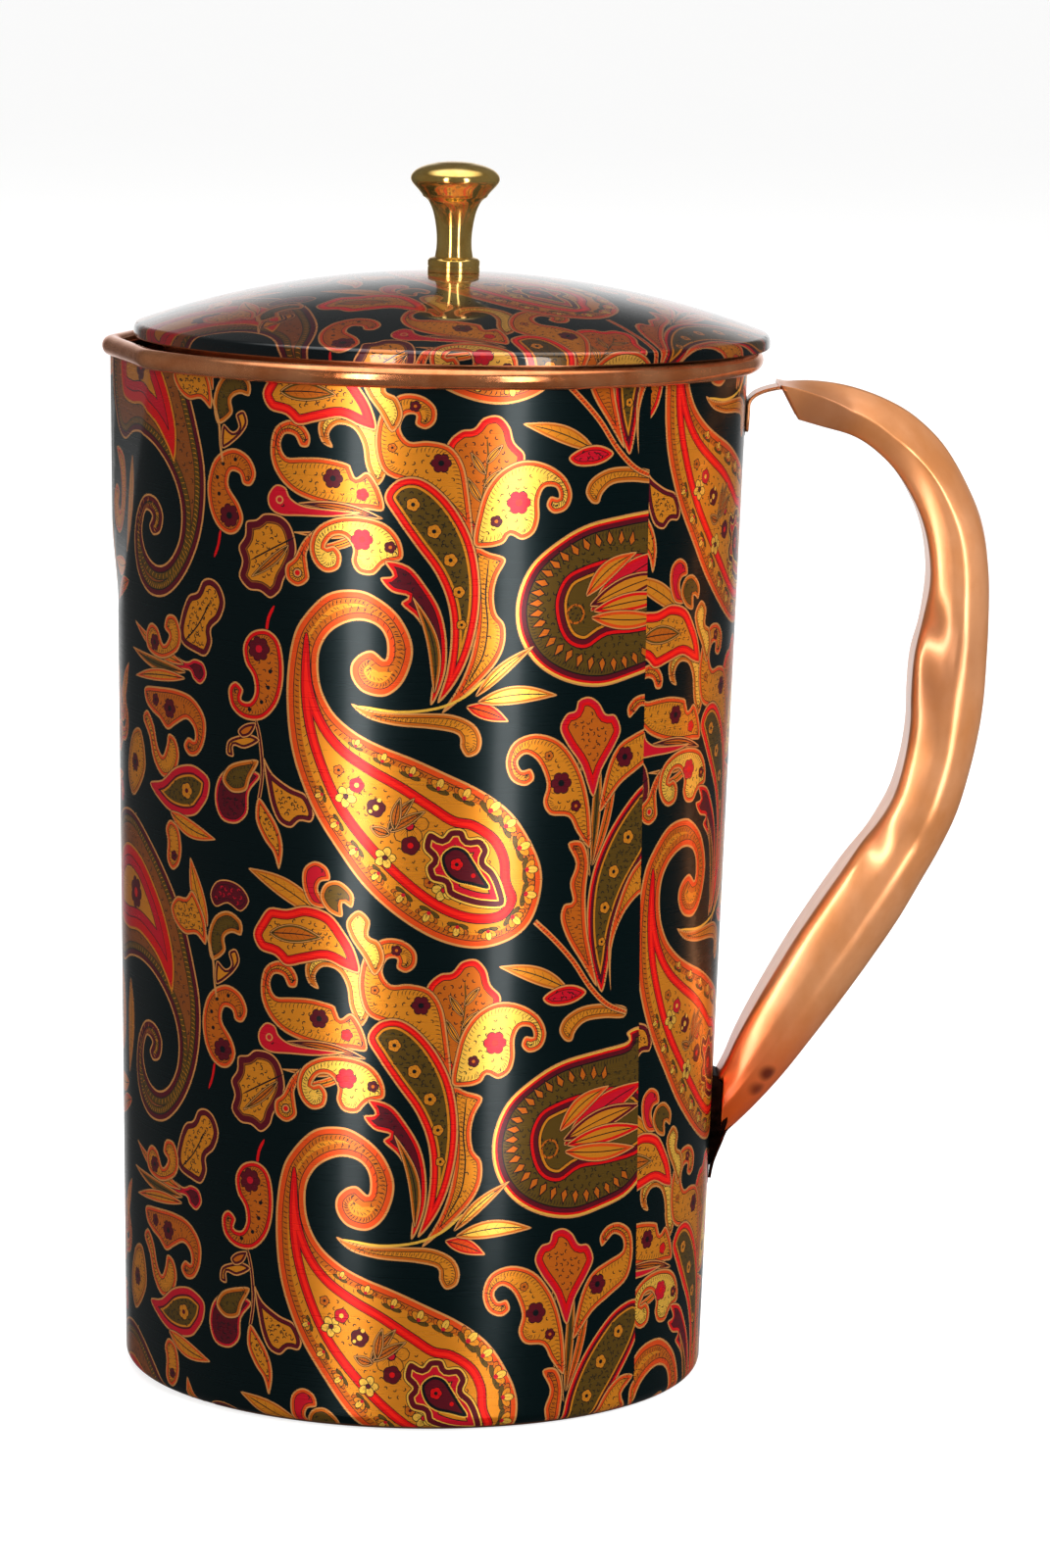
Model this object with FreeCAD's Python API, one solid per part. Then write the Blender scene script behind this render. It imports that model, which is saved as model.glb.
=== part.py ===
import FreeCAD, Part
import math
import os

# Covered copper water jug: a drawn, slightly tapered copper body with a V-shaped
# pouring lip, a rolled copper rim over a core wire, a hollow formed handle brazed on
# by its two tongues, and a loose domed lid with a turned brass knob.
# Millimetres. +Z up along the jug's axis, origin at the centre of the base,
# handle towards +X, pouring lip towards -X.

V = FreeCAD.Vector

# ---------------------------------------------------------------- driving sizes
R_TOP = 60.0            # outside of the wall, extrapolated to Z_CONE
R_BASE = 55.8           # outside of the wall, extrapolated to the base plane
Z_CONE = 194.0
Z_WALL = 196.3          # cut edge of the wall, inside the rolled rim
SHEET = 0.8             # body sheet
FILM = 0.1              # lacquered print skin on the body
LID_FILM = 0.25         # lacquered print skin on the lid, with its filled undercoat
R_CORNER = 2.5          # outside corner of the base

LIP_HALF = 31.5         # half angle of the pressed lip at the rim, degrees
LIP_DEPTH = 52.0        # how far the pressed V runs down the wall
LIP_LOW = 146.0         # height of the V's lower point
LIP_PROUD = 1.05        # how far the tip stands out of the cone

BEAD_R = 1.9            # rolled rim, outside
BEAD_T = 0.6            # rolled rim, sheet
BEAD_OFF = 1.05         # bead centre outside the wall surface
Z_BEAD = 196.3
WIRE_GAP = 0.03

LID_X = 3.8             # the lid lies pushed towards the handle
LID_R = 60.4            # outside of the hem
LID_ARC = 177.0         # crown radius of the dome
LID_Z = 211.4           # flat land under the knob
LAND_R = 5.5
HEM_FILLET = 1.4
HEM_Z = 198.6           # lower edge of the hem
LID_SHEET = 0.7
COLLAR_R = 54.8         # outside of the locating collar
COLLAR_T = 0.7
COLLAR_Z = 188.5        # lower edge of the collar
FLANGE_Z = 199.1
FLANGE_T = 0.7

KNOB_H = 21.0           # knob above the lid
SCREW_R = 2.0           # M4 screw from below
SCREW_HEAD_R = 3.9
SCREW_HEAD_H = 2.2
WASHER_R = 4.6
WASHER_T = 0.8

HANDLE_SHEET = 0.8
BRAZE_T = 0.12          # braze seen as a thin pad under each tongue
LOW_GAP = 2.2           # the tube's lower end stops this far from the wall
PLUG_HALF = 5.6         # half width of the braze that fills that gap
STRIP_HALF = 0.36       # half width of the finger-side strip, share of the section width
STRIP_FIT = 0.02        # gap at each edge of the strip, filled by the joint

os.makedirs("parts", exist_ok=True)
OUT = {}


def keep(name, shape):
    solids = shape.Solids
    if not solids:
        raise RuntimeError(name + ": no solid")
    shp = solids[0] if len(solids) == 1 else Part.makeCompound(solids)
    if not shp.isValid():
        shp.fix(1e-5, 1e-6, 1e-4)
    OUT[name] = shp
    shp.exportStep("parts/" + name + ".step")
    bb = shp.BoundBox
    print("%-24s solids %d valid %s vol %.1f  x %.2f..%.2f y %.2f..%.2f z %.2f..%.2f" % (
        name, len(solids), shp.isValid(), shp.Volume,
        bb.XMin, bb.XMax, bb.YMin, bb.YMax, bb.ZMin, bb.ZMax))
    return shp


def cone_r(z):
    return R_BASE + (R_TOP - R_BASE) * z / Z_CONE


def revolve(points, x0=0.0):
    """Solid of revolution about the vertical line x = x0; points are (r, z)."""
    pts = [V(x0 + r, 0, z) for r, z in points]
    face = Part.Face(Part.makePolygon(pts + [pts[0]]))
    return face.revolve(V(x0, 0, 0), V(0, 0, 1), 360)


def arc_pts(cr, cz, rad, a0, a1, n):
    out = []
    for i in range(n + 1):
        a = math.radians(a0 + (a1 - a0) * i / n)
        out.append((cr + rad * math.cos(a), cz + rad * math.sin(a)))
    return out


# ---------------------------------------------------------------- jug body
def cup_solid(inset, z_low, z_high, corner):
    """Closed cup volume bounded by the wall surface moved inwards by inset."""
    k = (R_TOP - R_BASE) / Z_CONE
    rc = max(corner - inset, 0.6)
    zc = z_low + rc
    r_at = cone_r(zc) - inset
    w = []
    # floor, corner arc, wall, top
    c = V(r_at - rc, 0, zc)
    a = V(r_at - rc, 0, z_low)
    m = V(r_at - rc + rc * math.sin(math.radians(45)), 0, zc - rc * math.cos(math.radians(45)))
    b = V(r_at, 0, zc)
    top_r = cone_r(z_high) - inset
    start = V(0, 0, z_low)
    edges = [Part.LineSegment(start, a).toShape()]
    edges += [Part.Arc(a, m, b).toShape(),
              Part.LineSegment(b, V(top_r, 0, z_high)).toShape(),
              Part.LineSegment(V(top_r, 0, z_high), V(0, 0, z_high)).toShape(),
              Part.LineSegment(V(0, 0, z_high), start).toShape()]
    face = Part.Face(Part.Wire(edges))
    return face.revolve(V(0, 0, 0), V(0, 0, 1), 360)


def lip_angle(z):
    """Half angle of the pressed zone at height z, radians."""
    f = (z - LIP_LOW) / LIP_DEPTH
    return math.radians(LIP_HALF) * max(f, 1e-4) ** 0.4


def lip_tip(z):
    """How far the tip line stands out of the cone at height z."""
    f = min(max((z - LIP_LOW) / 18.0, 0.0), 1.0)
    return LIP_PROUD * f * f * (3 - 2 * f)


def lip_section(inset, z, plain):
    """Closed section of the wall: two flats meeting at the tip, and the rest of the circle."""
    r = cone_r(z) - inset
    a = lip_angle(z)
    cp = V(-r * math.cos(a), r * math.sin(a), z)
    cm = V(-r * math.cos(a), -r * math.sin(a), z)
    back = V(r, 0, z)
    qa = (math.pi - a) / 2.0
    p1 = V(r * math.cos(qa), r * math.sin(qa), z)
    p2 = V(r * math.cos(qa), -r * math.sin(qa), z)
    if plain:
        tip = V(-r, 0, z)
        h = a / 2.0
        e1 = Part.Arc(cm, V(-r * math.cos(h), -r * math.sin(h), z), tip).toShape()
        e2 = Part.Arc(tip, V(-r * math.cos(h), r * math.sin(h), z), cp).toShape()
    else:
        tip = V(-(r + lip_tip(z)), 0, z)
        e1 = Part.LineSegment(cm, tip).toShape()
        e2 = Part.LineSegment(tip, cp).toShape()
    e3 = Part.Arc(cp, p1, back).toShape()
    e4 = Part.Arc(back, p2, cm).toShape()
    return Part.Wire([e1, e2, e3, e4])


LIP_ZS = [146.3, 148.5, 152.0, 156.5, 162.0, 169.0, 177.0, 186.0, 196.3]


def wall_volume(inset, z_low, corner):
    """Volume inside the wall surface moved inwards by inset, from z_low to the cut edge."""
    low = cup_solid(inset, z_low, LIP_ZS[0], corner)
    secs = [lip_section(inset, z, i == 0) for i, z in enumerate(LIP_ZS)]
    up = Part.makeLoft(secs, True, False, False)
    if up.Volume < 0:
        up.reverse()
    vol = low.fuse(up)
    if len(vol.Solids) > 1:
        vol = sorted(vol.Solids, key=lambda q: q.Volume)[-1]
    return vol


outer = wall_volume(0.0, 0.0, R_CORNER)
skin_in = wall_volume(FILM, 0.0, R_CORNER)
cavity = wall_volume(FILM + SHEET, SHEET, R_CORNER)
for nm, sh in (("outer", outer), ("skin", skin_in), ("cavity", cavity)):
    print(nm, sh.isValid(), len(sh.Solids), round(sh.Volume, 1))


# ---------------------------------------------------------------- rolled rim
def bead_solid(rad):
    """Tube of radius rad along the rim line: an arc and the two straight flanks."""
    rr = cone_r(Z_BEAD) + BEAD_OFF
    a = LIP_HALF
    centre = V(rr, 0, Z_BEAD)
    circ = Part.Wire(Part.Circle(centre, V(0, 1, 0), rad).toShape())
    face = Part.Face(circ)
    start = face.rotate(V(0, 0, 0), V(0, 0, 1), -(180 - a)) or face
    torus = start.revolve(V(0, 0, 0), V(0, 0, 1), 2 * (180 - a))
    tip = V(-rr, 0, Z_BEAD)
    out = torus
    for s in (1, -1):
        c = V(-rr * math.cos(math.radians(a)), s * rr * math.sin(math.radians(a)), Z_BEAD)
        d = tip - c
        cyl = Part.makeCylinder(rad, d.Length, c, d)
        out = out.fuse(cyl)
        out = out.fuse(Part.makeSphere(rad, c))
    out = out.fuse(Part.makeSphere(rad, tip))
    return out


bead_full = bead_solid(BEAD_R)
bead_core = bead_solid(BEAD_R - BEAD_T)
wire = bead_solid(BEAD_R - BEAD_T - WIRE_GAP)
rim = bead_full.cut(bead_core)

wall_tube = skin_in.cut(cavity)
body = wall_tube.cut(bead_full)
film_body = outer.cut(skin_in).cut(bead_full)
# the skin stops just above the ground on the corner of the base
film_body = film_body.cut(Part.makeBox(200, 200, 0.7, V(-100, -100, 0)))

# ---------------------------------------------------------------- handle
# stations of the formed tube: outer point (x, z), finger-side point (x, z), width in Y
ST = [
    (66.0, 192.0, 69.7, 185.2, 14.5),
    (72.5, 192.3, 74.2, 184.0, 15.4),
    (79.5, 191.4, 79.8, 182.5, 16.0),
    (86.5, 189.1, 84.0, 180.1, 16.4),
    (92.5, 185.7, 88.1, 176.3, 16.8),
    (98.2, 180.2, 91.2, 171.9, 17.0),
    (102.9, 172.5, 93.7, 166.8, 17.2),
    (106.0, 165.0, 95.2, 161.2, 17.2),
    (107.4, 156.0, 95.7, 154.8, 17.2),
    (107.7, 147.0, 94.7, 147.4, 17.2),
    (107.6, 139.5, 93.2, 140.3, 17.2),
    (107.3, 132.0, 92.8, 133.4, 17.2),
    (106.5, 125.2, 92.8, 127.2, 17.2),
    (105.0, 117.7, 92.0, 120.6, 17.4),
    (102.8, 109.6, 90.2, 113.7, 17.6),
    (99.6, 102.3, 87.2, 108.0, 17.8),
    (96.2, 95.9, 83.6, 103.0, 18.0),
    (92.4, 88.9, 80.2, 98.0, 18.2),
    (87.6, 81.3, 76.2, 91.9, 18.2),
    (82.2, 73.3, 71.8, 84.9, 18.0),
    (76.5, 65.3, 67.6, 77.5, 17.2),
    (70.8, 57.6, 63.9, 70.6, 16.0),
    (65.6, 51.5, 61.2, 65.0, 14.4),
    (60.8, 46.6, 59.4, 60.6, 12.6),
    (56.6, 42.9, 57.4, 56.6, 11.4),
]
# half section, finger side to outer side: (share of depth, share of width)
PROFILE = [(0.0, STRIP_HALF), (0.03, 0.425), (0.12, 0.468), (0.34, 0.497),
           (0.55, 0.50), (0.74, 0.445), (0.89, 0.30), (0.975, 0.15), (1.0, 0.0)]


def smooth_curve(pts):
    c = Part.BSplineCurve()
    c.interpolate(pts)
    return c


def station(st, th):
    ox, oz, ix, iz, w = st
    o = V(ox, 0, oz)
    i = V(ix, 0, iz)
    d = o - i
    depth = d.Length
    d.normalize()
    yv = V(0, 1, 0)
    half = [(s * depth, y * w) for s, y in PROFILE]
    full = [(s, -y) for s, y in half] + [(s, y) for s, y in reversed(half[:-1])]
    outer_pts = [i + d * s + yv * y for s, y in full]
    curve = smooth_curve(outer_pts)
    # inside face: the same line moved in by the sheet thickness
    mid = i + d * (0.5 * depth)
    inner_pts = []
    n = len(full)
    for k in range(n):
        p = outer_pts[k]
        if k == 0 or k == n - 1:
            q = p + d * th
        else:
            par = curve.parameter(p)
            t = curve.tangent(par)[0]
            nrm = t.cross(d.cross(yv))
            nrm.normalize()
            if nrm.dot(mid - p) < 0:
                nrm = nrm * -1.0
            q = p + nrm * th
            if k in (1, n - 2):
                q = p + d * (th + 0.05) + yv * (-0.45 * math.copysign(1, full[k][1]))
        inner_pts.append(q)
    inner = smooth_curve(inner_pts)
    a0, a1 = outer_pts[0], outer_pts[-1]
    b0, b1 = inner_pts[0], inner_pts[-1]
    wire = Part.Wire([curve.toShape(), Part.LineSegment(a1, b1).toShape(),
                      Part.LineSegment(b1, b0).toShape() if False else inner.toShape(),
                      Part.LineSegment(b0, a0).toShape()])
    y0 = STRIP_HALF * w - STRIP_FIT
    s0 = i - yv * y0
    s1 = i + yv * y0
    strip = Part.makePolygon([s0, s1, s1 + d * th, s0 + d * th, s0])
    return wire, strip


def sorted_wire(edges):
    return Part.Wire(Part.__sortEdges__(edges))


ch, sp = [], []
for st in ST:
    wv, sw = station(st, HANDLE_SHEET)
    ch.append(wv)
    sp.append(sw)
channel = Part.makeLoft(ch, True, False, False)
strip = Part.makeLoft(sp, True, False, False)
print("channel", channel.isValid(), channel.Volume, "strip", strip.isValid(), strip.Volume)

# tongues: the outer sheet runs on past the cut ends of the tube
TU_HALF = 3.4
tu = [(68.8, 192.1), (66.0, 192.0), (63.4, 191.0), (61.6, 190.3), (60.2, 189.4), (60.2, 187.4),
      (60.95, 187.4), (61.1, 189.0), (61.9, 189.7), (63.7, 190.3), (66.2, 191.3), (68.8, 191.3)]
tongue_up = Part.Face(Part.makePolygon([V(x, -TU_HALF, z) for x, z in tu] + [V(tu[0][0], -TU_HALF, tu[0][1])])).extrude(V(0, 2 * TU_HALF, 0))


def wall_pad(r0, r1, z0, z1, outline):
    """Piece of the wall cone between two offsets, trimmed by a flat outline in Y-Z."""
    ring = revolve([(cone_r(z0) + r0, z0), (cone_r(z0) + r1, z0), (cone_r(z1) + r1, z1), (cone_r(z1) + r0, z1)])
    pts = [V(40, y, z) for y, z in outline]
    block = Part.Face(Part.makePolygon(pts + [pts[0]])).extrude(V(40, 0, 0))
    return ring.common(block)


def rounded(half, z0, z1, n=8, taper=0.0):
    pts = []
    r = half
    for i in range(n + 1):
        a = math.pi + math.pi * i / n
        pts.append((r * math.cos(a), z0 + r + r * math.sin(a)))
    pts += [(half, z1), (-half, z1)]
    return pts


pad_up = wall_pad(BRAZE_T, BRAZE_T + HANDLE_SHEET, 181.8, 189.0, rounded(TU_HALF, 182.0, 188.6))
braze_up = wall_pad(-FILM, BRAZE_T, 180.8, 190.0, rounded(TU_HALF + 0.5, 181.4, 189.2))
low_outline = [(0.0, 35.8), (0.9, 36.8), (2.2, 39.6), (3.2, 42.6), (3.6, 44.6), (-3.6, 44.6), (-3.2, 42.6), (-2.2, 39.6), (-0.9, 36.8)]
pad_low = wall_pad(BRAZE_T, BRAZE_T + 0.6, 35.0, 44.6, low_outline)
tl_poly = [(61.9, 47.9), (60.55, 46.35), (59.75, 44.2), (58.9, 42.1), (58.0, 40.0), (57.5, 38.2), (57.1, 38.4),
           (57.3, 40.4), (58.0, 42.4), (58.8, 44.6), (59.7, 47.0), (61.0, 48.4)]
tongue_low = Part.Face(Part.makePolygon([V(x, -4.0, z) for x, z in tl_poly] + [V(tl_poly[0][0], -4.0, tl_poly[0][1])])).extrude(V(0, 8.0, 0))
tl_half = [(0.9, 36.8), (2.2, 39.6), (3.2, 42.6), (3.4, 45.0), (2.9, 47.0), (2.2, 48.6)]
tl_side = [V(50, y, z) for y, z in tl_half] + [V(50, -y, z) for y, z in reversed(tl_half)]
tongue_low = tongue_low.common(Part.Face(Part.makePolygon(tl_side + [tl_side[0]])).extrude(V(20, 0, 0)))
clear_wall = revolve([(0, 20), (cone_r(20) + BRAZE_T, 20), (cone_r(193) + BRAZE_T, 193), (0, 193)])
clear_low = revolve([(0, 30), (cone_r(30) + LOW_GAP, 30), (cone_r(57.2) + LOW_GAP, 57.2), (cone_r(57.4) + BRAZE_T, 57.4), (cone_r(70) + BRAZE_T, 70), (0, 70)])
tongue_low = tongue_low.cut(clear_wall)
tongue_up = tongue_up.cut(clear_wall)
channel = channel.cut(clear_low)
strip = strip.cut(clear_wall)
if len(channel.Solids) > 1:
    channel = sorted(channel.Solids, key=lambda q: q.Volume)[-1]
handle = channel.fuse([tongue_up, pad_up, tongue_low, pad_low])
print("handle", handle.isValid(), len(handle.Solids), handle.Volume)
handle = handle.cut(clear_wall)

# the gap between the cut end of the tube and the wall is filled with dark braze
plug_poly = [(55.5, 58.4), (57.9, 57.6), (58.9, 56.0), (59.9, 53.0), (60.0, 49.0), (59.4, 46.9), (58.6, 44.4), (57.9, 42.4), (57.2, 40.4), (55.5, 38.0)]
plug = Part.Face(Part.makePolygon([V(x, -PLUG_HALF, z) for x, z in plug_poly] + [V(plug_poly[0][0], -PLUG_HALF, plug_poly[0][1])])).extrude(V(0, 2 * PLUG_HALF, 0))
skin_cone = revolve([(0, 20), (cone_r(20) - FILM, 20), (cone_r(80) - FILM, 80), (0, 80)])
braze_outline = [(0.0, 35.2), (1.4, 36.3), (2.9, 39.4), (4.2, 43.0), (5.4, 47.0), (5.7, 51.0), (5.4, 56.0), (4.6, 58.6),
                 (-4.6, 58.6), (-5.4, 56.0), (-5.7, 51.0), (-5.4, 47.0), (-4.2, 43.0), (-2.9, 39.4), (-1.4, 36.3)]
braze_low = wall_pad(-FILM, BRAZE_T, 34.5, 59.0, braze_outline)
side = [V(50, y, z) for y, z in braze_outline]
plug = plug.common(Part.Face(Part.makePolygon(side + [side[0]])).extrude(V(20, 0, 0)))
braze_low = braze_low.fuse(plug.cut(skin_cone)).cut(handle).cut(strip)
braze_low = sorted(braze_low.Solids, key=lambda q: q.Volume)[-1]
print("braze low", braze_low.isValid(), braze_low.Volume)

film_body = film_body.cut(braze_up).cut(braze_low)

keep("body_shell", body)
keep("body_print_wrap", film_body)
keep("rim_bead", rim)
keep("rim_core_wire", wire)
keep("handle_shell", handle)
keep("handle_finger_strip", strip)
keep("handle_upper_braze", braze_up)
keep("handle_lower_braze", braze_low)


# ---------------------------------------------------------------- lid
def dome_profile(inset, z_low):
    """Outer line of the lid from the axis to the hem, moved inwards by inset."""
    z_apex = LID_Z + (LID_ARC - math.sqrt(LID_ARC ** 2 - LAND_R ** 2))
    cz = z_apex - LID_ARC                      # centre of the crown
    ra = LID_ARC - inset
    # hem fillet centre: inside the crown by HEM_FILLET and inside the hem by HEM_FILLET
    fr = LID_R - HEM_FILLET
    d = LID_ARC - HEM_FILLET
    fz = cz + math.sqrt(d * d - fr * fr)
    ang = math.atan2(fz - cz, fr)
    rf = HEM_FILLET - inset
    p_land = V(LAND_R, 0, LID_Z - inset)
    p_tan = V(fr + rf * math.cos(ang), 0, fz + rf * math.sin(ang))
    am = ang / 2.0
    p_mid = V(fr + rf * math.cos(am), 0, fz + rf * math.sin(am))
    p_side = V(fr + rf, 0, fz)
    mid_a = (math.atan2(p_land.z - cz, p_land.x) + ang) / 2.0
    p_crown = V(ra * math.cos(mid_a), 0, cz + ra * math.sin(mid_a))
    p_low = V(fr + rf, 0, z_low)
    return p_land, p_crown, p_tan, p_mid, p_side, p_low, (fr, fz, ang, cz)


def dome_volume(inset, z_low):
    """Solid under the lid's outer line, down to z_low."""
    p_land, p_crown, p_tan, p_mid, p_side, p_low, _ = dome_profile(inset, z_low)
    top = V(0, 0, LID_Z - inset)
    e = [Part.LineSegment(top, p_land).toShape(),
         Part.Arc(p_land, p_crown, p_tan).toShape(),
         Part.Arc(p_tan, p_mid, p_side).toShape(),
         Part.LineSegment(p_side, p_low).toShape(),
         Part.LineSegment(p_low, V(0, 0, z_low)).toShape(),
         Part.LineSegment(V(0, 0, z_low), top).toShape()]
    f = Part.Face(Part.Wire(e))
    s = f.revolve(V(0, 0, 0), V(0, 0, 1), 360)
    s.translate(V(LID_X, 0, 0))
    return s


hole = Part.makeCylinder(SCREW_R + 0.15, 30, V(LID_X, 0, 195))
lid_out = dome_volume(0.0, HEM_Z + 0.25)
lid_mid = dome_volume(LID_FILM, HEM_Z)
lid_in = dome_volume(LID_FILM + LID_SHEET, HEM_Z - 1.0)
lid_skin = lid_out.cut(dome_volume(LID_FILM, HEM_Z - 1.0)).cut(hole)
lid_dome = lid_mid.cut(lid_in).cut(hole)
in_r = LID_R - LID_FILM - LID_SHEET
collar = revolve([(COLLAR_R - COLLAR_T, COLLAR_Z), (COLLAR_R, COLLAR_Z), (COLLAR_R, FLANGE_Z), (in_r, FLANGE_Z),
                  (in_r, FLANGE_Z + FLANGE_T), (COLLAR_R - COLLAR_T, FLANGE_Z + FLANGE_T)], 0.0)
collar.translate(V(LID_X, 0, 0))
# solder fillet that holds the collar flange inside the hem
lf = FLANGE_Z + FLANGE_T
solder = revolve([(in_r - 1.1, lf), (in_r, lf), (in_r, lf + 0.45)], 0.0)
solder.translate(V(LID_X, 0, 0))
keep("lid_dome", lid_dome)
keep("lid_print_film", lid_skin)
keep("lid_collar", collar)
keep("lid_collar_solder", solder.common(dome_volume(LID_FILM + LID_SHEET, HEM_Z - 1.0)))

# ---------------------------------------------------------------- knob and its screw
kz = LID_Z
K = [(0.0, 0.0), (4.95, 0.0), (4.95, 2.35), (4.6, 2.7), (3.55, 2.95), (3.38, 4.4), (3.32, 6.0),
     (3.42, 7.8), (3.72, 9.8), (4.2, 11.7), (4.95, 13.3), (5.75, 14.1), (6.15, 14.35), (6.35, 14.75),
     (6.9, 15.4), (7.9, 16.5), (8.4, 17.3), (8.45, 18.0), (8.1, 18.7), (7.2, 19.5), (5.6, 20.2), (3.4, 20.75), (0.0, 21.0)]
knob_pts = [V(LID_X + r, 0, kz + z) for r, z in K]
neck = smooth_curve(knob_pts[4:12]).toShape()
cap = smooth_curve(knob_pts[13:22]).toShape()
top_seg = Part.LineSegment(knob_pts[21], knob_pts[22]).toShape()
edges = [Part.LineSegment(knob_pts[0], knob_pts[1]).toShape(), Part.LineSegment(knob_pts[1], knob_pts[2]).toShape(),
         Part.LineSegment(knob_pts[2], knob_pts[3]).toShape(), Part.LineSegment(knob_pts[3], knob_pts[4]).toShape(),
         neck, Part.LineSegment(knob_pts[11], knob_pts[12]).toShape(), Part.LineSegment(knob_pts[12], knob_pts[13]).toShape(),
         cap, top_seg, Part.LineSegment(knob_pts[22], knob_pts[0]).toShape()]
knob = Part.Face(Part.Wire(edges)).revolve(V(LID_X, 0, 0), V(0, 0, 1), 360)
bore = Part.makeCylinder(SCREW_R, 9.0, V(LID_X, 0, kz - 0.5))
knob = knob.cut(bore)
z_under = LID_Z - LID_FILM - LID_SHEET
washer = Part.makeCylinder(WASHER_R, WASHER_T, V(LID_X, 0, z_under - WASHER_T)).cut(
    Part.makeCylinder(SCREW_R + 0.15, 5, V(LID_X, 0, z_under - 3)))
zh = z_under - WASHER_T
screw = Part.makeCylinder(SCREW_R, (kz + 7.8) - zh, V(LID_X, 0, zh)).fuse(
    Part.makeCylinder(SCREW_HEAD_R, SCREW_HEAD_H, V(LID_X, 0, zh - SCREW_HEAD_H)))
head_edge = [e for e in screw.Edges if abs(e.BoundBox.ZMin - (zh - SCREW_HEAD_H)) < 1e-6 and abs(e.BoundBox.ZMax - (zh - SCREW_HEAD_H)) < 1e-6]
try:
    screw = screw.makeFillet(1.0, head_edge)
except Exception as err:
    print("head fillet skipped", err)
slot = Part.makeBox(1.0, 20, 1.0, V(LID_X - 0.5, -10, zh - SCREW_HEAD_H - 0.0))
screw = screw.cut(slot)
keep("lid_knob", knob)
keep("knob_washer", washer)
keep("knob_screw", screw)

# ---------------------------------------------------------------- self check
names = list(OUT)
for i in range(len(names)):
    for j in range(i + 1, len(names)):
        a, b = OUT[names[i]], OUT[names[j]]
        if not a.BoundBox.intersect(b.BoundBox):
            continue
        try:
            v = a.common(b).Volume
        except Exception as err:
            v = float("nan")
        if v > 1e-3 or v != v:
            print("overlap", names[i], names[j], round(v, 4))
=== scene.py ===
import bpy, bmesh, math, random
import numpy as np
from mathutils import Vector, Matrix
from mathutils.geometry import delaunay_2d_cdt


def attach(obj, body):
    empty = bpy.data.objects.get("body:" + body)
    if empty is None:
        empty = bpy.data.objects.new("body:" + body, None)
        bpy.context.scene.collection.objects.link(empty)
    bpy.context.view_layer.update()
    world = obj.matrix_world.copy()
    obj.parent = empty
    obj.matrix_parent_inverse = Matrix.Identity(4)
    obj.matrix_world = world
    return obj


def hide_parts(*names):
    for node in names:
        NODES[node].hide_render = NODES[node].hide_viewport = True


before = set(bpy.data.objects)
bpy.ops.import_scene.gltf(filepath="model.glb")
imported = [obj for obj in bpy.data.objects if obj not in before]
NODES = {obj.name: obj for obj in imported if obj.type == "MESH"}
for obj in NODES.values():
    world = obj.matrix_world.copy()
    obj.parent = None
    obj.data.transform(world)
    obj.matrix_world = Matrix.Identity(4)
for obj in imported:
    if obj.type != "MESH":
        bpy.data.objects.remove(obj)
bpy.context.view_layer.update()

MM = 0.001
SCN = bpy.context.scene

# ------------------------------------------------------------------ printed pattern
# Flat drawing in millimetres: s runs round the wall, v up it.
def spl(pts, closed=True, n=6):
    """Smooth line through the points."""
    P = np.asarray(pts, float)
    m = len(P)
    out = []
    rng = range(m) if closed else range(m - 1)
    for i in rng:
        p0 = P[(i - 1) % m] if (closed or i > 0) else 2 * P[0] - P[1]
        p1 = P[i]
        p2 = P[(i + 1) % m]
        p3 = P[(i + 2) % m] if (closed or i + 2 < m) else 2 * P[-1] - P[-2]
        for k in range(n):
            t = k / n
            out.append(0.5 * ((2 * p1) + (p2 - p0) * t + (2 * p0 - 5 * p1 + 4 * p2 - p3) * t * t + (3 * p1 - p0 - 3 * p2 + p3) * t ** 3))
    if not closed:
        out.append(P[-1])
    return np.array(out)


def area(P):
    x, y = P[:, 0], P[:, 1]
    return 0.5 * np.sum(x * np.roll(y, -1) - y * np.roll(x, -1))


def normals(P, closed=True):
    if closed:
        d = np.roll(P, -1, 0) - np.roll(P, 1, 0)
    else:
        d = np.gradient(P, axis=0)
    d /= np.maximum(np.linalg.norm(d, axis=1, keepdims=True), 1e-9)
    return np.stack([d[:, 1], -d[:, 0]], 1)          # outward for a counter-clockwise line


def ccw(P):
    return P if area(P) > 0 else P[::-1].copy()


def inset(P, d):
    """The closed line moved inwards by d (outwards when d is negative)."""
    P = ccw(P)
    return P - normals(P) * d


def resample(P, step, closed=True):
    Q = np.vstack([P, P[:1]]) if closed else P
    seg = np.linalg.norm(np.diff(Q, axis=0), axis=1)
    L = np.concatenate([[0], np.cumsum(seg)])
    n = max(int(round(L[-1] / step)), 3)
    t = np.linspace(0, L[-1], n, endpoint=not closed) if closed else np.linspace(0, L[-1], n + 1)
    return np.stack([np.interp(t, L, Q[:, 0]), np.interp(t, L, Q[:, 1])], 1)


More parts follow.
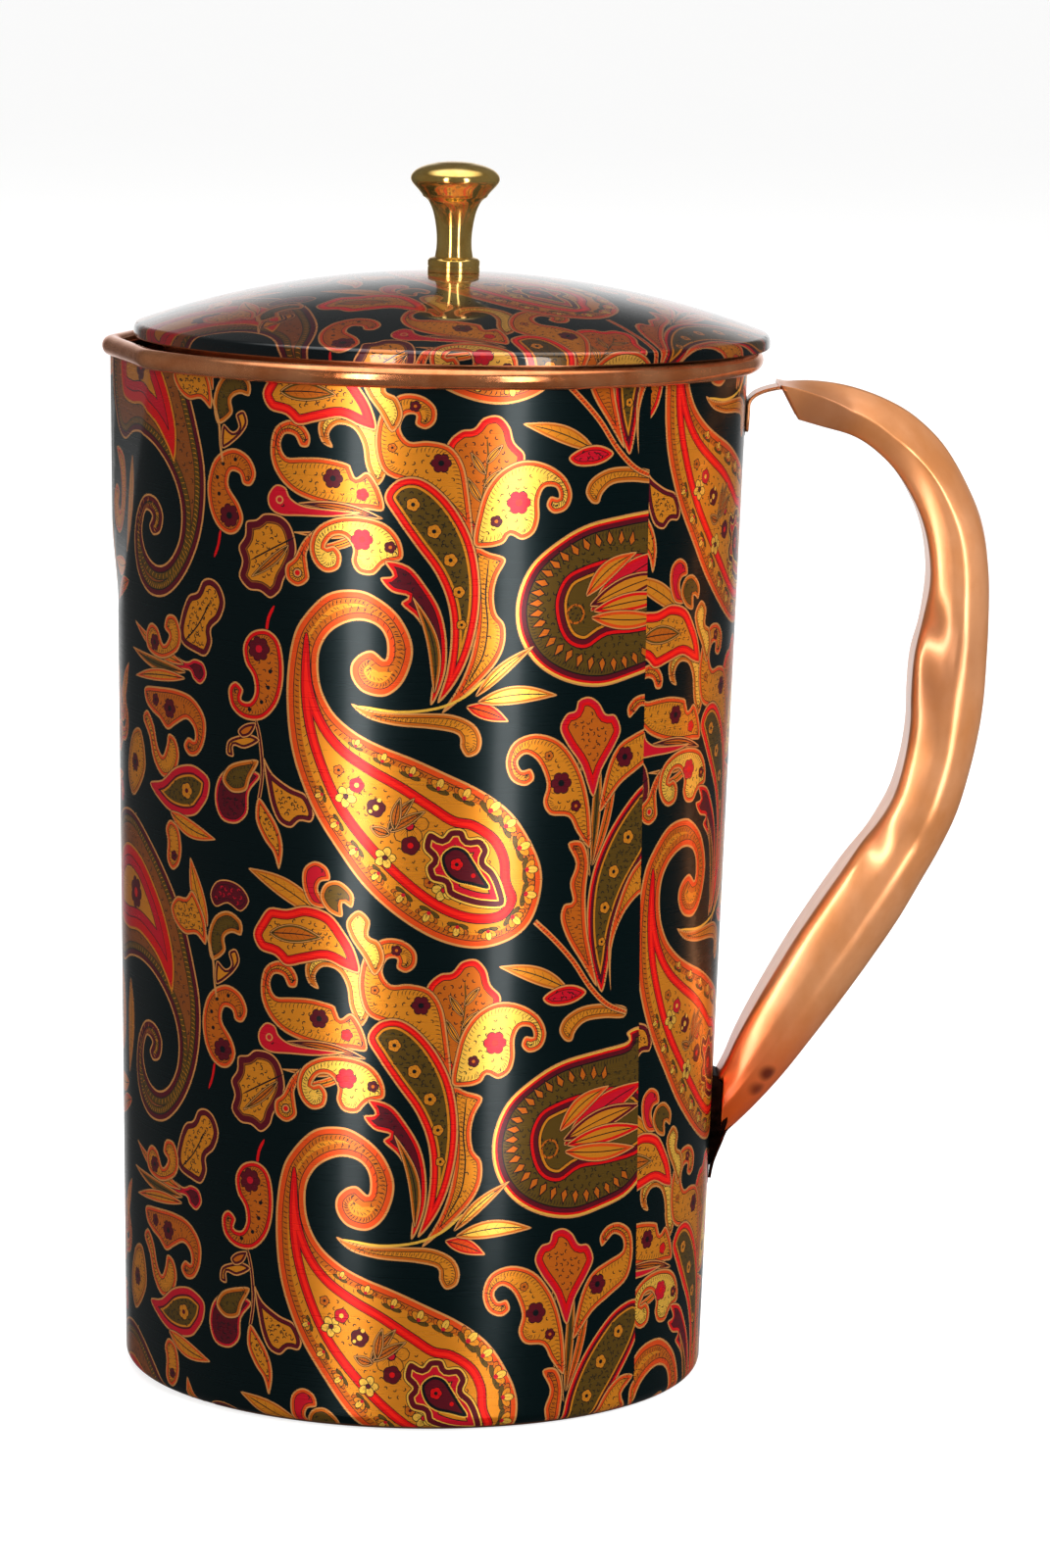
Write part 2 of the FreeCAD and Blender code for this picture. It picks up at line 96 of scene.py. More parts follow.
class Art:
    """Shapes in painter's order: later ones lie on top of earlier ones."""

    def __init__(self):
        self.items = []

    def fill(self, P, ink):
        P = np.asarray(P, float)
        if len(P) >= 3 and abs(area(P)) > 0.02:
            self.items.append((ink, ccw(P)))

    def band(self, P, d0, ink):
        self.fill_in(inset(P, d0), ink)

    def fill_in(self, P, ink):
        """Fill that keeps the line's own turning sense, so parts turned inside out by an inset stay empty."""
        if area(P) > 0.02:
            self.items.append((ink, P))

    def stroke(self, pts, w, ink, n=6, w1=None, taper=True):
        C = spl(pts, False, n) if n else np.asarray(pts, float)
        N = normals(C, False)
        m = len(C)
        t = np.linspace(0, 1, m)
        h = (w + ((w1 if w1 is not None else w) - w) * t) * 0.5
        if taper:
            h = h * np.clip(np.minimum(t, 1 - t) * 8 + 0.35, 0, 1)
        h = h[:, None]
        P = np.vstack([C + N * h, (C - N * h)[::-1]])
        self.items.append((ink, P if area(P) > 0 else P[::-1].copy()))

    def put(self, other, M, b, clipfn=None):
        """Copy of another drawing moved by the 2x2 matrix M and the shift b."""
        M = np.asarray(M, float)
        flip = np.linalg.det(M) < 0
        for ink, P in other.items:
            Q = P @ M.T + np.asarray(b, float)
            if flip:
                Q = Q[::-1].copy()
            self.items.append((ink, Q))


def rot(deg, sc=1.0, mirror=False):
    a = math.radians(deg)
    M = np.array([[math.cos(a), -math.sin(a)], [math.sin(a), math.cos(a)]]) * sc
    if mirror:
        M = M @ np.array([[1, 0], [0, -1]])
    return M


def dot(A, c, r, ink, k=9, wob=0.0, ph=0.0):
    a = np.linspace(0, 2 * math.pi, k, endpoint=False) + ph
    rr = r * (1 + wob * np.cos(5 * a))
    A.fill(np.stack([c[0] + rr * np.cos(a), c[1] + rr * np.sin(a)], 1), ink)


def rosette(A, c, r, ink, core, petals=6, ph=0.0):
    a = np.linspace(0, 2 * math.pi, petals * 6, endpoint=False) + ph
    rr = r * (0.80 + 0.20 * np.abs(np.cos(petals * a / 2)) ** 0.6)
    A.fill(np.stack([c[0] + (rr + 0.16) * np.cos(a), c[1] + (rr + 0.16) * np.sin(a)], 1), "dark")
    A.fill(np.stack([c[0] + rr * np.cos(a), c[1] + rr * np.sin(a)], 1), ink)
    dot(A, c, r * 0.33, core, 8)
    for i in range(petals):
        b = ph + math.pi * (2 * i + 1) / petals
        A.stroke([(c[0] + r * 0.42 * math.cos(b), c[1] + r * 0.42 * math.sin(b)), (c[0] + r * 0.72 * math.cos(b), c[1] + r * 0.72 * math.sin(b))], 0.13, "dark", 1)


def rims(A, P, line=0.34, edge="orange", we=0.75, inner="gold", thin=0.14):
    """Outline, coloured edge, hair line and filled middle of a closed shape."""
    A.fill(inset(P, -0.12), "dark")
    A.fill(P, "line")
    A.band(P, line, edge)
    if we > 0:
        A.band(P, line + we, "dark")
        A.band(P, line + we + thin, inner)


def ticks(A, P, d, ln, step, ink="dark", w=0.15, closed=True, t0=0.0, t1=1.0, lean=0.35):
    """Short strokes across the band that starts d inside the closed line P."""
    Q = resample(ccw(P), step, closed)
    N = normals(Q, closed)
    m = len(Q)
    for i in range(m):
        f = i / m
        if f < t0 or f > t1:
            continue
        T = np.array([-N[i][1], N[i][0]])
        a = Q[i] - N[i] * d
        b = Q[i] - N[i] * (d + ln) + T * (lean * ln)
        A.stroke([a, (a + b) / 2 + T * 0.12 * ln, b], w, ink, 1)


def squiggles(A, poly, rng, step, ink="dark", w=0.20, size=0.8):
    """Small curls scattered inside a closed line."""
    lo, hi = poly.min(0), poly.max(0)
    y = lo[1] + step * 0.5
    row = 0
    while y < hi[1]:
        x = lo[0] + step * (0.5 + 0.5 * (row % 2))
        while x < hi[0]:
            c = np.array([x + rng.uniform(-.2, .2) * step, y + rng.uniform(-.2, .2) * step])
            if inside(poly, c[None])[0]:
                a0 = rng.uniform(0, 6.28)
                k = rng.choice((1, -1))
                pts = [c + size * 0.5 * np.array([math.cos(a0 + k * q), math.sin(a0 + k * q)]) * (0.45 + 0.22 * q) for q in (0, 1.1, 2.2, 3.3)]
                A.stroke(pts, w, ink, 2)
            x += step
        y += step * 0.86
        row += 1


def inside(P, X):
    """Winding number above zero, for points X in the closed line P."""
    x, y = X[:, 0][:, None], X[:, 1][:, None]
    x0, y0 = P[:, 0][None], P[:, 1][None]
    x1, y1 = np.roll(P[:, 0], -1)[None], np.roll(P[:, 1], -1)[None]
    cr = (x1 - x0) * (y - y0) - (x - x0) * (y1 - y0)
    up = (y0 <= y) & (y1 > y) & (cr > 0)
    dn = (y0 > y) & (y1 <= y) & (cr < 0)
    return (up.sum(1) - dn.sum(1)) > 0


# ---- motifs, each drawn about its own origin
def m_comma(flower="maroon", core="crimson", inner="gold", edge="orange", seed=1, dotr=1.25):
    """Scroll leaf: a full base at the origin that runs along +x and curls back at its end."""
    A = Art()
    P = spl([(0, -2.6), (2.2, -3.0), (4.3, -2.2), (6.2, -1.9), (8.2, -2.4), (10.0, -1.9), (11.6, -0.2), (12.0, 2.2), (10.9, 4.4),
             (8.8, 5.2), (7.0, 4.4), (6.6, 2.7), (7.7, 1.5), (9.1, 1.9), (9.2, 3.0), (8.3, 3.3), (9.4, 3.6), (10.2, 2.4),
             (9.9, 0.7), (8.5, 0.0), (6.6, 0.6), (5.2, 2.0), (3.4, 2.9), (1.4, 2.9), (-0.6, 2.2), (-1.8, 0.4), (-1.4, -1.6)])
    return A, P


def m_leaf(L, W, bend=0.0, edge="orange", inner="gold", line=0.26, we=0.34, veins=True):
    """Pointed leaf from the origin along +x."""
    A = Art()
    t = np.linspace(0, 1, 9)
    w = W * 0.5 * np.sin(math.pi * t ** 0.85) ** 0.85
    y0 = bend * np.sin(math.pi * t)
    up = np.stack([L * t, y0 + w], 1)
    lo = np.stack([L * t, y0 - w], 1)[::-1][1:-1]
    P = spl(np.vstack([up, lo]), True, 3)
    A.fill(inset(P, -0.12), "dark")
    A.fill(P, "line")
    A.band(P, line, edge)
    A.band(P, line + we, inner)
    C = np.stack([L * t[:-1], y0[:-1]], 1)
    A.stroke(C, 0.2, "dark", 3)
    if veins:
        for i in range(1, 7):
            f = i / 8
            c = np.array([L * f, bend * math.sin(math.pi * f)])
            ww = W * 0.5 * math.sin(math.pi * f ** 0.85) ** 0.85 * 0.55
            for sg in (1, -1):
                A.stroke([c, c + np.array([ww * 0.9, sg * ww])], 0.13, "dark", 1)
    return A


FILL_RNG = random.Random(11)


def shape(A, pts, edge="orange", we=0.6, inner="gold", line=0.34, tk=0.0, sq=0.0, sm=4, rng=None, closed_t=(0.0, 1.0), sqs=0.8):
    P = ccw(spl(pts, True, sm))
    rims(A, P, line, edge, we, inner)
    if tk:
        ticks(A, P, line + we + 0.18, tk, 0.85, t0=closed_t[0], t1=closed_t[1])
    if not sq and abs(area(P)) > 9.0:
        sq, rng = 1.75, FILL_RNG
    if sq:
        squiggles(A, inset(P, line + we + 0.55 + tk * 0.9), rng or FILL_RNG, sq, size=sqs)
    return P


def place_leaf(A, p, q, W, bend=0.0, **kw):
    p, q = np.array(p, float), np.array(q, float)
    d = q - p
    L = float(np.hypot(*d))
    A.put(m_leaf(L, W, bend, **kw), rot(math.degrees(math.atan2(d[1], d[0]))), p)


def petal(A, c, a, L, W, ink, w=0.17, vein=True):
    """Rounded petal with a dark outline, from its middle c along the direction a."""
    t = np.linspace(0, 2 * math.pi, 10, endpoint=False)
    d, n = np.array([math.cos(a), math.sin(a)]), np.array([-math.sin(a), math.cos(a)])
    r = 1 + 0.10 * np.cos(2 * t)
    E = np.outer(np.cos(t) * r * L / 2, d) + np.outer(np.sin(t) * r * W / 2, n)
    A.fill(E * (1 + 2 * w / L) + c, "dark")
    A.fill(E + c, ink)
    if vein:
        A.stroke([c - d * L * 0.30, c + d * L * 0.18], 0.15, "dark", 1)


def sprig(A, c, r, a):
    """Three petals on two leaves."""
    c = np.array(c, float)
    for da in (-1.9, 1.9):
        petal(A, c + 0.55 * r * np.array([math.cos(a + da), math.sin(a + da)]), a + da * 0.8, 1.15 * r, 0.55 * r, "olive")
    for da, ink in ((-0.95, "gold"), (0.95, "gold"), (0.0, "goldL")):
        petal(A, c + 0.52 * r * np.array([math.cos(a + da), math.sin(a + da)]), a + da, 0.95 * r, 0.72 * r, ink)
    dot(A, c, 0.24 * r, "crimson", 6)


def poppy(A, c, r, ph, ink="gold", core="crimson", n=5):
    """Open flower drawn in outline."""
    c = np.array(c, float)
    for i in range(n):
        a = ph + 2 * math.pi * i / n
        petal(A, c + 0.58 * r * np.array([math.cos(a), math.sin(a)]), a, 0.86 * r, 0.84 * r, ink, vein=False)
        for q in (-0.22, 0.0, 0.22):
            b = a + q
            A.stroke([c + 0.30 * r * np.array([math.cos(b), math.sin(b)]), c + (0.72 - abs(q) * 0.5) * r * np.array([math.cos(b), math.sin(b)])], 0.13, "dark", 1)
    dot(A, c, 0.30 * r, "dark", 8)
    dot(A, c, 0.22 * r, core, 7)


def paisley_a(rng):
    A = Art()
    out = [(-7.3, 145.0), (-9.6, 146.5), (-11.9, 145.8), (-13.5, 143.8), (-13.3, 141.2), (-11.2, 138.8), (-7.3, 138.2), (-4.2, 140.6),
           (-2.5, 145), (-2.7, 148.8), (-5, 153.1), (-8.8, 156.2), (-12.7, 157.5), (-18.1, 156.5), (-22.7, 151.9), (-24.8, 147.3),
           (-25.8, 139.6), (-25.4, 131.2), (-23.8, 124.2), (-20.4, 116.5), (-15.8, 109.6), (-10.4, 102.7), (-3.5, 96.9), (3.5, 93.1),
           (10.4, 91.7), (16.5, 93.1), (20.4, 96.2), (22.3, 101.2), (22.3, 106.5), (19.6, 112.3), (15.8, 117.3), (10.4, 121.2),
           (4.2, 124.2), (-1.9, 126.9), (-8.1, 129.2), (-12.7, 131.5), (-16.5, 134.6), (-18.8, 138.5), (-19.6, 142.7), (-19.2, 146.5),
           (-17.3, 149.6), (-14.2, 151.5), (-11.2, 151.9), (-8.5, 150.8), (-7.1, 148.3)]
    P = ccw(spl(out, True, 6))
    A.fill(inset(P, -0.15), "dark")
    A.fill(P, "line")
    A.band(P, 0.42, "orange")
    A.band(P, 1.35, "dark")
    A.band(P, 1.5, "amber")
    ticks(A, P, 1.6, 0.9, 1.05, w=0.2)
    A.band(P, 2.55, "gold")
    R = ccw(spl([(-22.3, 148.2), (-22.9, 140), (-22.0, 132), (-19.4, 124), (-15.6, 116.5), (-10.2, 109.8), (-3.8, 103.6), (2.6, 99.0),
                 (9.0, 96.6), (15.0, 97.0), (17.6, 100.6), (16.3, 104.2), (15.8, 108.6), (13.6, 112.6), (9.4, 115.4), (5.8, 116.2),
                 (2.0, 118.6), (-4.0, 122.4), (-10.0, 125.6), (-15.0, 129.0), (-18.6, 133.6), (-20.9, 140), (-21.6, 148)], True, 5))
    # flowers and curls in the band round the red one
    band_in = inset(P, 2.6)
    for c, r, a in (((12.6, 117.6), 1.5, 0.7), ((15.6, 114.6), 1.4, 0.5), ((18.3, 110.4), 1.45, 0.35), ((19.9, 106.2), 1.4, 0.0), ((19.8, 101.6), 1.4, -0.2), ((17.3, 97.2), 1.3, -0.7),
                    ((12.5, 94.5), 1.1, -1.4), ((6.6, 95.4), 1.15, -1.8), ((1.2, 98.0), 1.2, -2.1), ((-3.6, 101.3), 1.15, -2.3), ((-8.2, 105.2), 1.1, -2.4), ((-12.4, 109.5), 1.05, -2.5),
                    ((-16.0, 114.2), 1.0, -2.6), ((-19.1, 119.4), 0.9, -2.8), ((7.6, 120.0), 1.3, 1.1), ((2.8, 121.8), 1.25, 1.2), ((-2.2, 124.2), 1.1, 1.2), ((-7.4, 126.6), 1.0, 1.2), ((-12.3, 129.2), 0.85, 1.1)):
        out = np.array([math.cos(a), math.sin(a)])
        c = np.array(c) - 0.35 * out
        for u in (-1.3, 1.3):
            petal(A, c + 1.35 * r * np.array([math.cos(a + u), math.sin(a + u)]), a + u * 0.7, 1.25 * r, 0.75 * r, "amber")
        sprig(A, c, 1.45 * r, a)
    ticks(A, P, 2.8, 0.7, 1.9, w=0.16, lean=-0.6)
    A.fill(inset(R, -0.18), "dark")
    A.fill(R, "red")
    A.band(R, 0.55, "redL")
    A.band(R, 1.25, "red")
    A.band(R, 1.65, "dark")
    A.band(R, 1.8, "gold")
    F = inset(R, 1.9)
    squiggles(A, inset(R, 2.6), rng, 1.9, size=0.75)
    # flowers in the field
    poppy(A, (-2.4, 114.4), 3.3, 0.2)
    poppy(A, (-14.2, 119.4), 1.9, 0.9, "goldL", "maroon")
    poppy(A, (4.0, 102.6), 2.0, 0.5, "goldL", "crimson")
    poppy(A, (-6.8, 108.4), 1.9, 0.0, "goldL", "maroon")
    rosette(A, (-15.6, 124.2), 0.9, "amber", "dark", 5)
    rosette(A, (-12.2, 121.6), 1.35, "crimson", "goldL", 5, 0.3)
    rosette(A, (-8.6, 117.6), 1.7, "maroon", "goldL", 5, 0.9)
    dot(A, (-8.0, 119.0), 0.42, "goldL", 7)
    dot(A, (-9.6, 116.9), 0.36, "goldL", 7)
    for p, q in (((-6.4, 113.4), (-1.6, 119.6)), ((-6.0, 113.2), (0.4, 117.2)), ((-6.0, 112.8), (-9.6, 114.0)), ((-5.2, 113.6), (-4.2, 119.6))):
        place_leaf(A, p, q, 1.9, 0.2, edge="olive", inner="amber", line=0.16, we=0.22)
    rosette(A, (-2.2, 110.8), 1.7, "maroon", "red", 5, 0.1)
    rosette(A, (1.4, 104.0), 1.0, "amber", "maroon", 5, 0.4)
    # scalloped drop at the round end
    T = ccw(spl([(1.2, 113.2), (3.6, 112.2), (5.0, 113.6), (7.2, 113.6), (8.2, 112.0), (10.6, 112.0), (12.0, 110.0), (11.4, 107.8), (13.2, 106.0),
                 (14.6, 103.2), (15.2, 99.8), (11.6, 99.6), (8.0, 100.4), (5.0, 101.8), (4.2, 103.8), (1.8, 104.6), (1.0, 106.8), (2.0, 108.4), (0.4, 110.4)], True, 4))
    A.fill(inset(T, -0.5), "dark")
    A.fill(inset(T, -0.35), "goldL")
    A.band(T, 0.0, "maroon")
    A.band(T, 1.05, "goldL")
    A.band(T, 1.3, "crimson")
    A.band(T, 2.3, "dark")
    A.band(T, 2.5, "gold")
    C = spl([(3.6, 108.9), (5.6, 110.6), (7.8, 110.0), (9.3, 108.0), (10.8, 105.6), (12.4, 102.9), (9.0, 103.6), (6.2, 104.3), (4.3, 106.0)], True, 4)
    A.fill(inset(C, -0.25), "goldL")
    A.fill(C, "dark")
    A.band(C, 0.55, "maroon")
    rosette(A, (6.3, 107.4), 1.15, "red", "dark", 5, 0.2)
    dot(A, (9.4, 105.3), 0.45, "red", 7)
    return A


def spray_1(rng):
    A = Art()
    # scroll behind, upper
    K3 = [(7.8, 167.5), (5.2, 171.2), (1.8, 174.6), (-2.6, 177), (-7.4, 178.6), (-9.2, 181.6), (-9.6, 186), (-8.4, 190.4), (-5.4, 193.2), (-1.8, 193.2),
          (0.8, 191.2), (0.9, 188.5), (-0.8, 187.1), (-2.6, 187.9), (-2.6, 189.6), (-4.4, 189.4), (-5.2, 187), (-3.6, 184.8), (-0.4, 185.0), (3.4, 184.1), (5.8, 181), (6.9, 176)]
    K1 = [(-14.6, 180.4), (-19, 181.2), (-23, 181.1), (-26, 181), (-27.2, 183.1), (-26.4, 185.1), (-24.5, 184.9), (-23.4, 183.1), (-21.8, 183.2), (-21.6, 185.2),
          (-23.2, 187.2), (-26, 187.7), (-28.6, 185.8), (-29.3, 181.5), (-28, 177.8), (-25, 174.9), (-21, 173.3), (-16, 172.4), (-11, 172.2), (-8.0, 172.2),
          (-8.4, 175.2), (-10, 178.2), (-11.3, 179.0), (-13.0, 177.9), (-13.8, 179.3)]
    K0 = [(-9.2, 176.6), (-11.2, 180), (-11.9, 184), (-13.6, 186.8), (-16.4, 187.4), (-18, 185.6), (-17.3, 183.2), (-19.4, 184.2), (-20, 187.3), (-18, 190), (-14, 190.7), (-10.4, 189.2), (-8.3, 186), (-7.4, 180)]
    shape(A, K0, "amber", 0.5, "goldL", tk=0.8)
    H1 = [(7.8, 167.6), (5.2, 173.6), (3.6, 178.6), (2.6, 182.0), (3.2, 185.0), (5.4, 187.0), (7.6, 187.4), (9.3, 189.3), (12.0, 189.7), (14, 187.7), (14.9, 184.9), (16.9, 182.6),
          (16.2, 179.4), (13.6, 175.6), (10.4, 171)]
    P = ccw(spl(H1, True, 4))
    A.fill(inset(P, -0.12), "dark"); A.fill(P, "line"); A.band(P, 0.34, "red"); A.band(P, 0.9, "redL"); A.band(P, 1.35, "dark"); A.band(P, 1.5, "amber")
    squiggles(A, inset(P, 2.1), rng, 1.5, size=0.8)
    A.stroke([(8.6, 168.5), (9.4, 175), (10.2, 181.5), (10.0, 185.5)], 0.3, "olive", 4)
    for a, b in (((9.3, 174), (6.6, 178.5)), ((9.6, 176.5), (12.8, 180)), ((9.9, 179), (7.2, 183)), ((10, 181), (12.8, 184.4))):
        place_leaf(A, a, b, 1.3, 0.1, edge="olive", inner="gold", line=0.12, we=0.15, veins=False)
    shape(A, K3, "orange", 0.55, "gold", tk=1.0)
    rosette(A, (2.0, 181.0), 1.7, "maroon", "dark", 6)
    rosette(A, (-2.7, 191.2), 0.9, "maroon", "amber", 5)
    rosette(A, (-6.6, 183.6), 0.75, "amber", "dark", 5)
    shape(A, K1, "orange", 0.55, "gold", tk=0.95)
    rosette(A, (-17.2, 177.6), 1.75, "maroon", "dark", 6)
    rosette(A, (-11.8, 174.9), 1.05, "red", "crimson", 5)
    # fan of narrow leaves
    for p, q, w, b, e, i in (((-8, 170.6), (-24.6, 172.6), 1.9, -0.8, "maroon", "amber"), ((-8, 170.0), (-24.8, 167.4), 1.7, 1.2, "amber", "olive"),
                             ((-9, 169.6), (-23.6, 164.4), 1.7, 1.5, "orange", "gold")):
        place_leaf(A, p, q, w, b, edge=e, inner=i, line=0.24, we=0.26, veins=False)
    LA = [(-25.0, 168.2), (-27.2, 170.2), (-30.4, 170.4), (-32.2, 169.2), (-34.4, 168.6), (-34.7, 166.0), (-36.1, 163.8), (-35.3, 161.2), (-36.0, 158.4), (-33.9, 156.2), (-31.4, 156.0),
          (-29.2, 154.9), (-27.2, 156.4), (-26.4, 158.6), (-25.2, 160.6), (-24.0, 164.0)]
    P = ccw(spl(LA, True, 4))
    A.fill(inset(P, -0.12), "dark"); A.fill(P, "line"); A.band(P, 0.32, "maroon"); A.band(P, 1.5, "amberD")
    A.band(P, 1.75, "dark"); A.band(P, 1.9, "gold")
    squiggles(A, inset(P, 2.4), rng, 1.45, size=0.8)
    A.stroke([(-24.4, 166.4), (-29, 164), (-33.4, 161.6)], 0.3, "dark", 4)
    place_leaf(A, (-25.5, 165), (-33.2, 158.6), 1.7, 0.3, edge="olive", inner="amber", line=0.14, we=0.2)
    CR = [(-12, 171.6), (-17, 171.9), (-22.5, 172.3), (-25.2, 173.6), (-26.2, 175.4), (-28.2, 175.8), (-29.8, 173.8), (-29.4, 171.5), (-27.2, 170.3), (-23, 170.4), (-17, 170.6)]
    shape(A, CR, "crimson", 0.8, "maroon", line=0.3)
    dot(A, (-27.4, 173.1), 0.8, "line", 9); dot(A, (-27.4, 173.1), 0.5, "crimson", 9)
    CB = [(-13.5, 170), (-18.6, 169.2), (-22.4, 166.4), (-24.4, 162.8), (-26.1, 161.2), (-25.9, 158.7), (-23.7, 157.5), (-21.6, 158.9), (-21.8, 161.4), (-21.9, 164), (-19.6, 166.8)]
    shape(A, CB, "orange", 0.5, "gold", line=0.3, tk=0.6)
    dot(A, (-23.8, 160.0), 1.0, "dark", 9); dot(A, (-23.8, 160.0), 0.8, "line", 9); dot(A, (-23.8, 160.0), 0.5, "red", 9)
    K2 = [(-6.4, 168.8), (-9, 170.3), (-13, 170.9), (-17, 170.3), (-20.3, 168.3), (-21.5, 165), (-20.6, 162), (-18.4, 160.4), (-16, 161.2), (-15.5, 163.6), (-16.8, 165.3),
          (-18.5, 165.0), (-17.2, 167.0), (-15, 167.1), (-13.4, 165.0), (-13.6, 162.6), (-12.3, 160.6), (-9.6, 160.4), (-7.6, 162.4), (-4.6, 163.4), (-4.7, 166.2)]
    shape(A, K2, "orange", 0.5, "goldL", tk=0.9)
    rosette(A, (-11.8, 166.7), 1.9, "crimson", "red", 6)
    rosette(A, (-6.7, 165.5), 1.0, "maroon", "amber", 5)
    # lower wing with ticks, and the red crescent
    W = [(-7.6, 163), (-3.4, 162.2), (-0.2, 158.6), (2.4, 154.2), (3.6, 149), (3.6, 143.5), (2.2, 138.6), (0.9, 136.9), (1.2, 142), (0.6, 147.8), (-1.6, 152.4), (-4.6, 155.2),
         (-3.4, 156.6), (-6.4, 157.4), (-8.4, 159.8), (-6.2, 160.4)]
    shape(A, W, "red", 0.6, "maroon", line=0.34, tk=0.0)
    place_leaf(A, (1.6, 139), (-2.6, 156.6), 2.2, -1.7, edge="amber", inner="olive", line=0.2, we=0.3)
    RL = [(8.0, 165.4), (11.0, 164.8), (13.9, 163.6), (12.5, 160.4), (11.9, 157.2), (12.4, 153.8), (14.0, 151.6), (14.1, 148), (12.6, 144.5), (9.6, 141), (6, 137.6), (3, 135.4), (6.0, 140.5), (8, 146), (8.8, 152), (8.6, 158)]
    shape(A, RL, "orange", 0.55, "gold", tk=0.7)
    A.stroke([(10.8, 163.4), (10.4, 157), (10.9, 151.5), (10.2, 146), (7.6, 141)], 0.28, "dark", 4)
    ticks(A, spl([(10.8, 163.4), (10.4, 157), (10.9, 151.5), (10.2, 146), (7.6, 141)], False, 4), 0.1, 0.8, 0.9, closed=False)
    LL = [(-5.8, 177.7), (-2.2, 178.4), (1.5, 176.4), (5, 172.4), (7.9, 166.8), (9.3, 160), (9.2, 153), (7.7, 146), (5.2, 140.6), (2.2, 137.2), (3.6, 142.5), (4.3, 149), (3.7, 155.2),
          (1.4, 160.8), (-2.4, 166), (-5.8, 170.8), (-7.9, 174.6)]
    P = ccw(spl(LL, True, 5))
    A.fill(inset(P, -0.15), "dark"); A.fill(P, "line"); A.band(P, 0.36, "red"); A.band(P, 0.75, "redL"); A.band(P, 1.15, "red"); A.band(P, 1.4, "dark"); A.band(P, 1.55, "gold")
    A.band(P, 2.0, "olive"); 
    squiggles(A, inset(P, 2.2), rng, 1.25, ink="dark", size=0.8)
    for c, r in (((-2.8, 173.4), 1.2), ((1.0, 168.6), 1.25), ((4.0, 163.4), 1.2), ((5.6, 157.6), 1.05), ((6.2, 151.6), 0.85)):
        rosette(A, c, r, "gold", "dark", 5, rng.uniform(0, 6))
    K4 = [(8.0, 166.4), (8.7, 172), (10, 176.3), (12.6, 179.7), (16.4, 181.5), (20.6, 181), (24.4, 178.7), (26.1, 175.4), (25.2, 172.6), (22.7, 171.8), (21.2, 173.2), (21.9, 174.9),
          (23.5, 174.7), (22.9, 176.5), (20.8, 176.6), (19.8, 174.4), (19.9, 171), (19, 168.3), (16.8, 167.1), (14.6, 168), (13.4, 166.5), (10.8, 165.8)]
    shape(A, K4, "orange", 0.5, "goldL", tk=1.0)
    rosette(A, (16.0, 173.9), 2.1, "crimson", "redL", 6)
    rosette(A, (12.0, 170.5), 1.0, "maroon", "amber", 5)
    # foot of the spray
    FT = [(-13.4, 136.6), (-10.6, 134.2), (-5.4, 132.9), (1.6, 132.4), (6.0, 131.4), (6.5, 129), (7.8, 127.3), (9.9, 128.2), (10.3, 130.8), (8.8, 133.4), (5, 135.1), (0, 135.3), (-6, 135.2), (-10, 135.6)]
    shape(A, FT, "amber", 0.45, "gold", tk=0.7)
    place_leaf(A, (7.4, 136.6), (15.2, 133.8), 3.0, 0.3, edge="red", inner="orange")
    place_leaf(A, (9.4, 137.4), (24.4, 138.4), 3.4, 0.8, edge="amber", inner="goldL")
    place_leaf(A, (9.0, 138.4), (19.6, 147.6), 2.3, 0.6, edge="amber", inner="goldL")
    A.stroke([(-12, 136.2), (-5, 135.4), (2, 136.2), (7, 138.4), (10.6, 141.6)], 0.5, "goldL", 4)
    return A


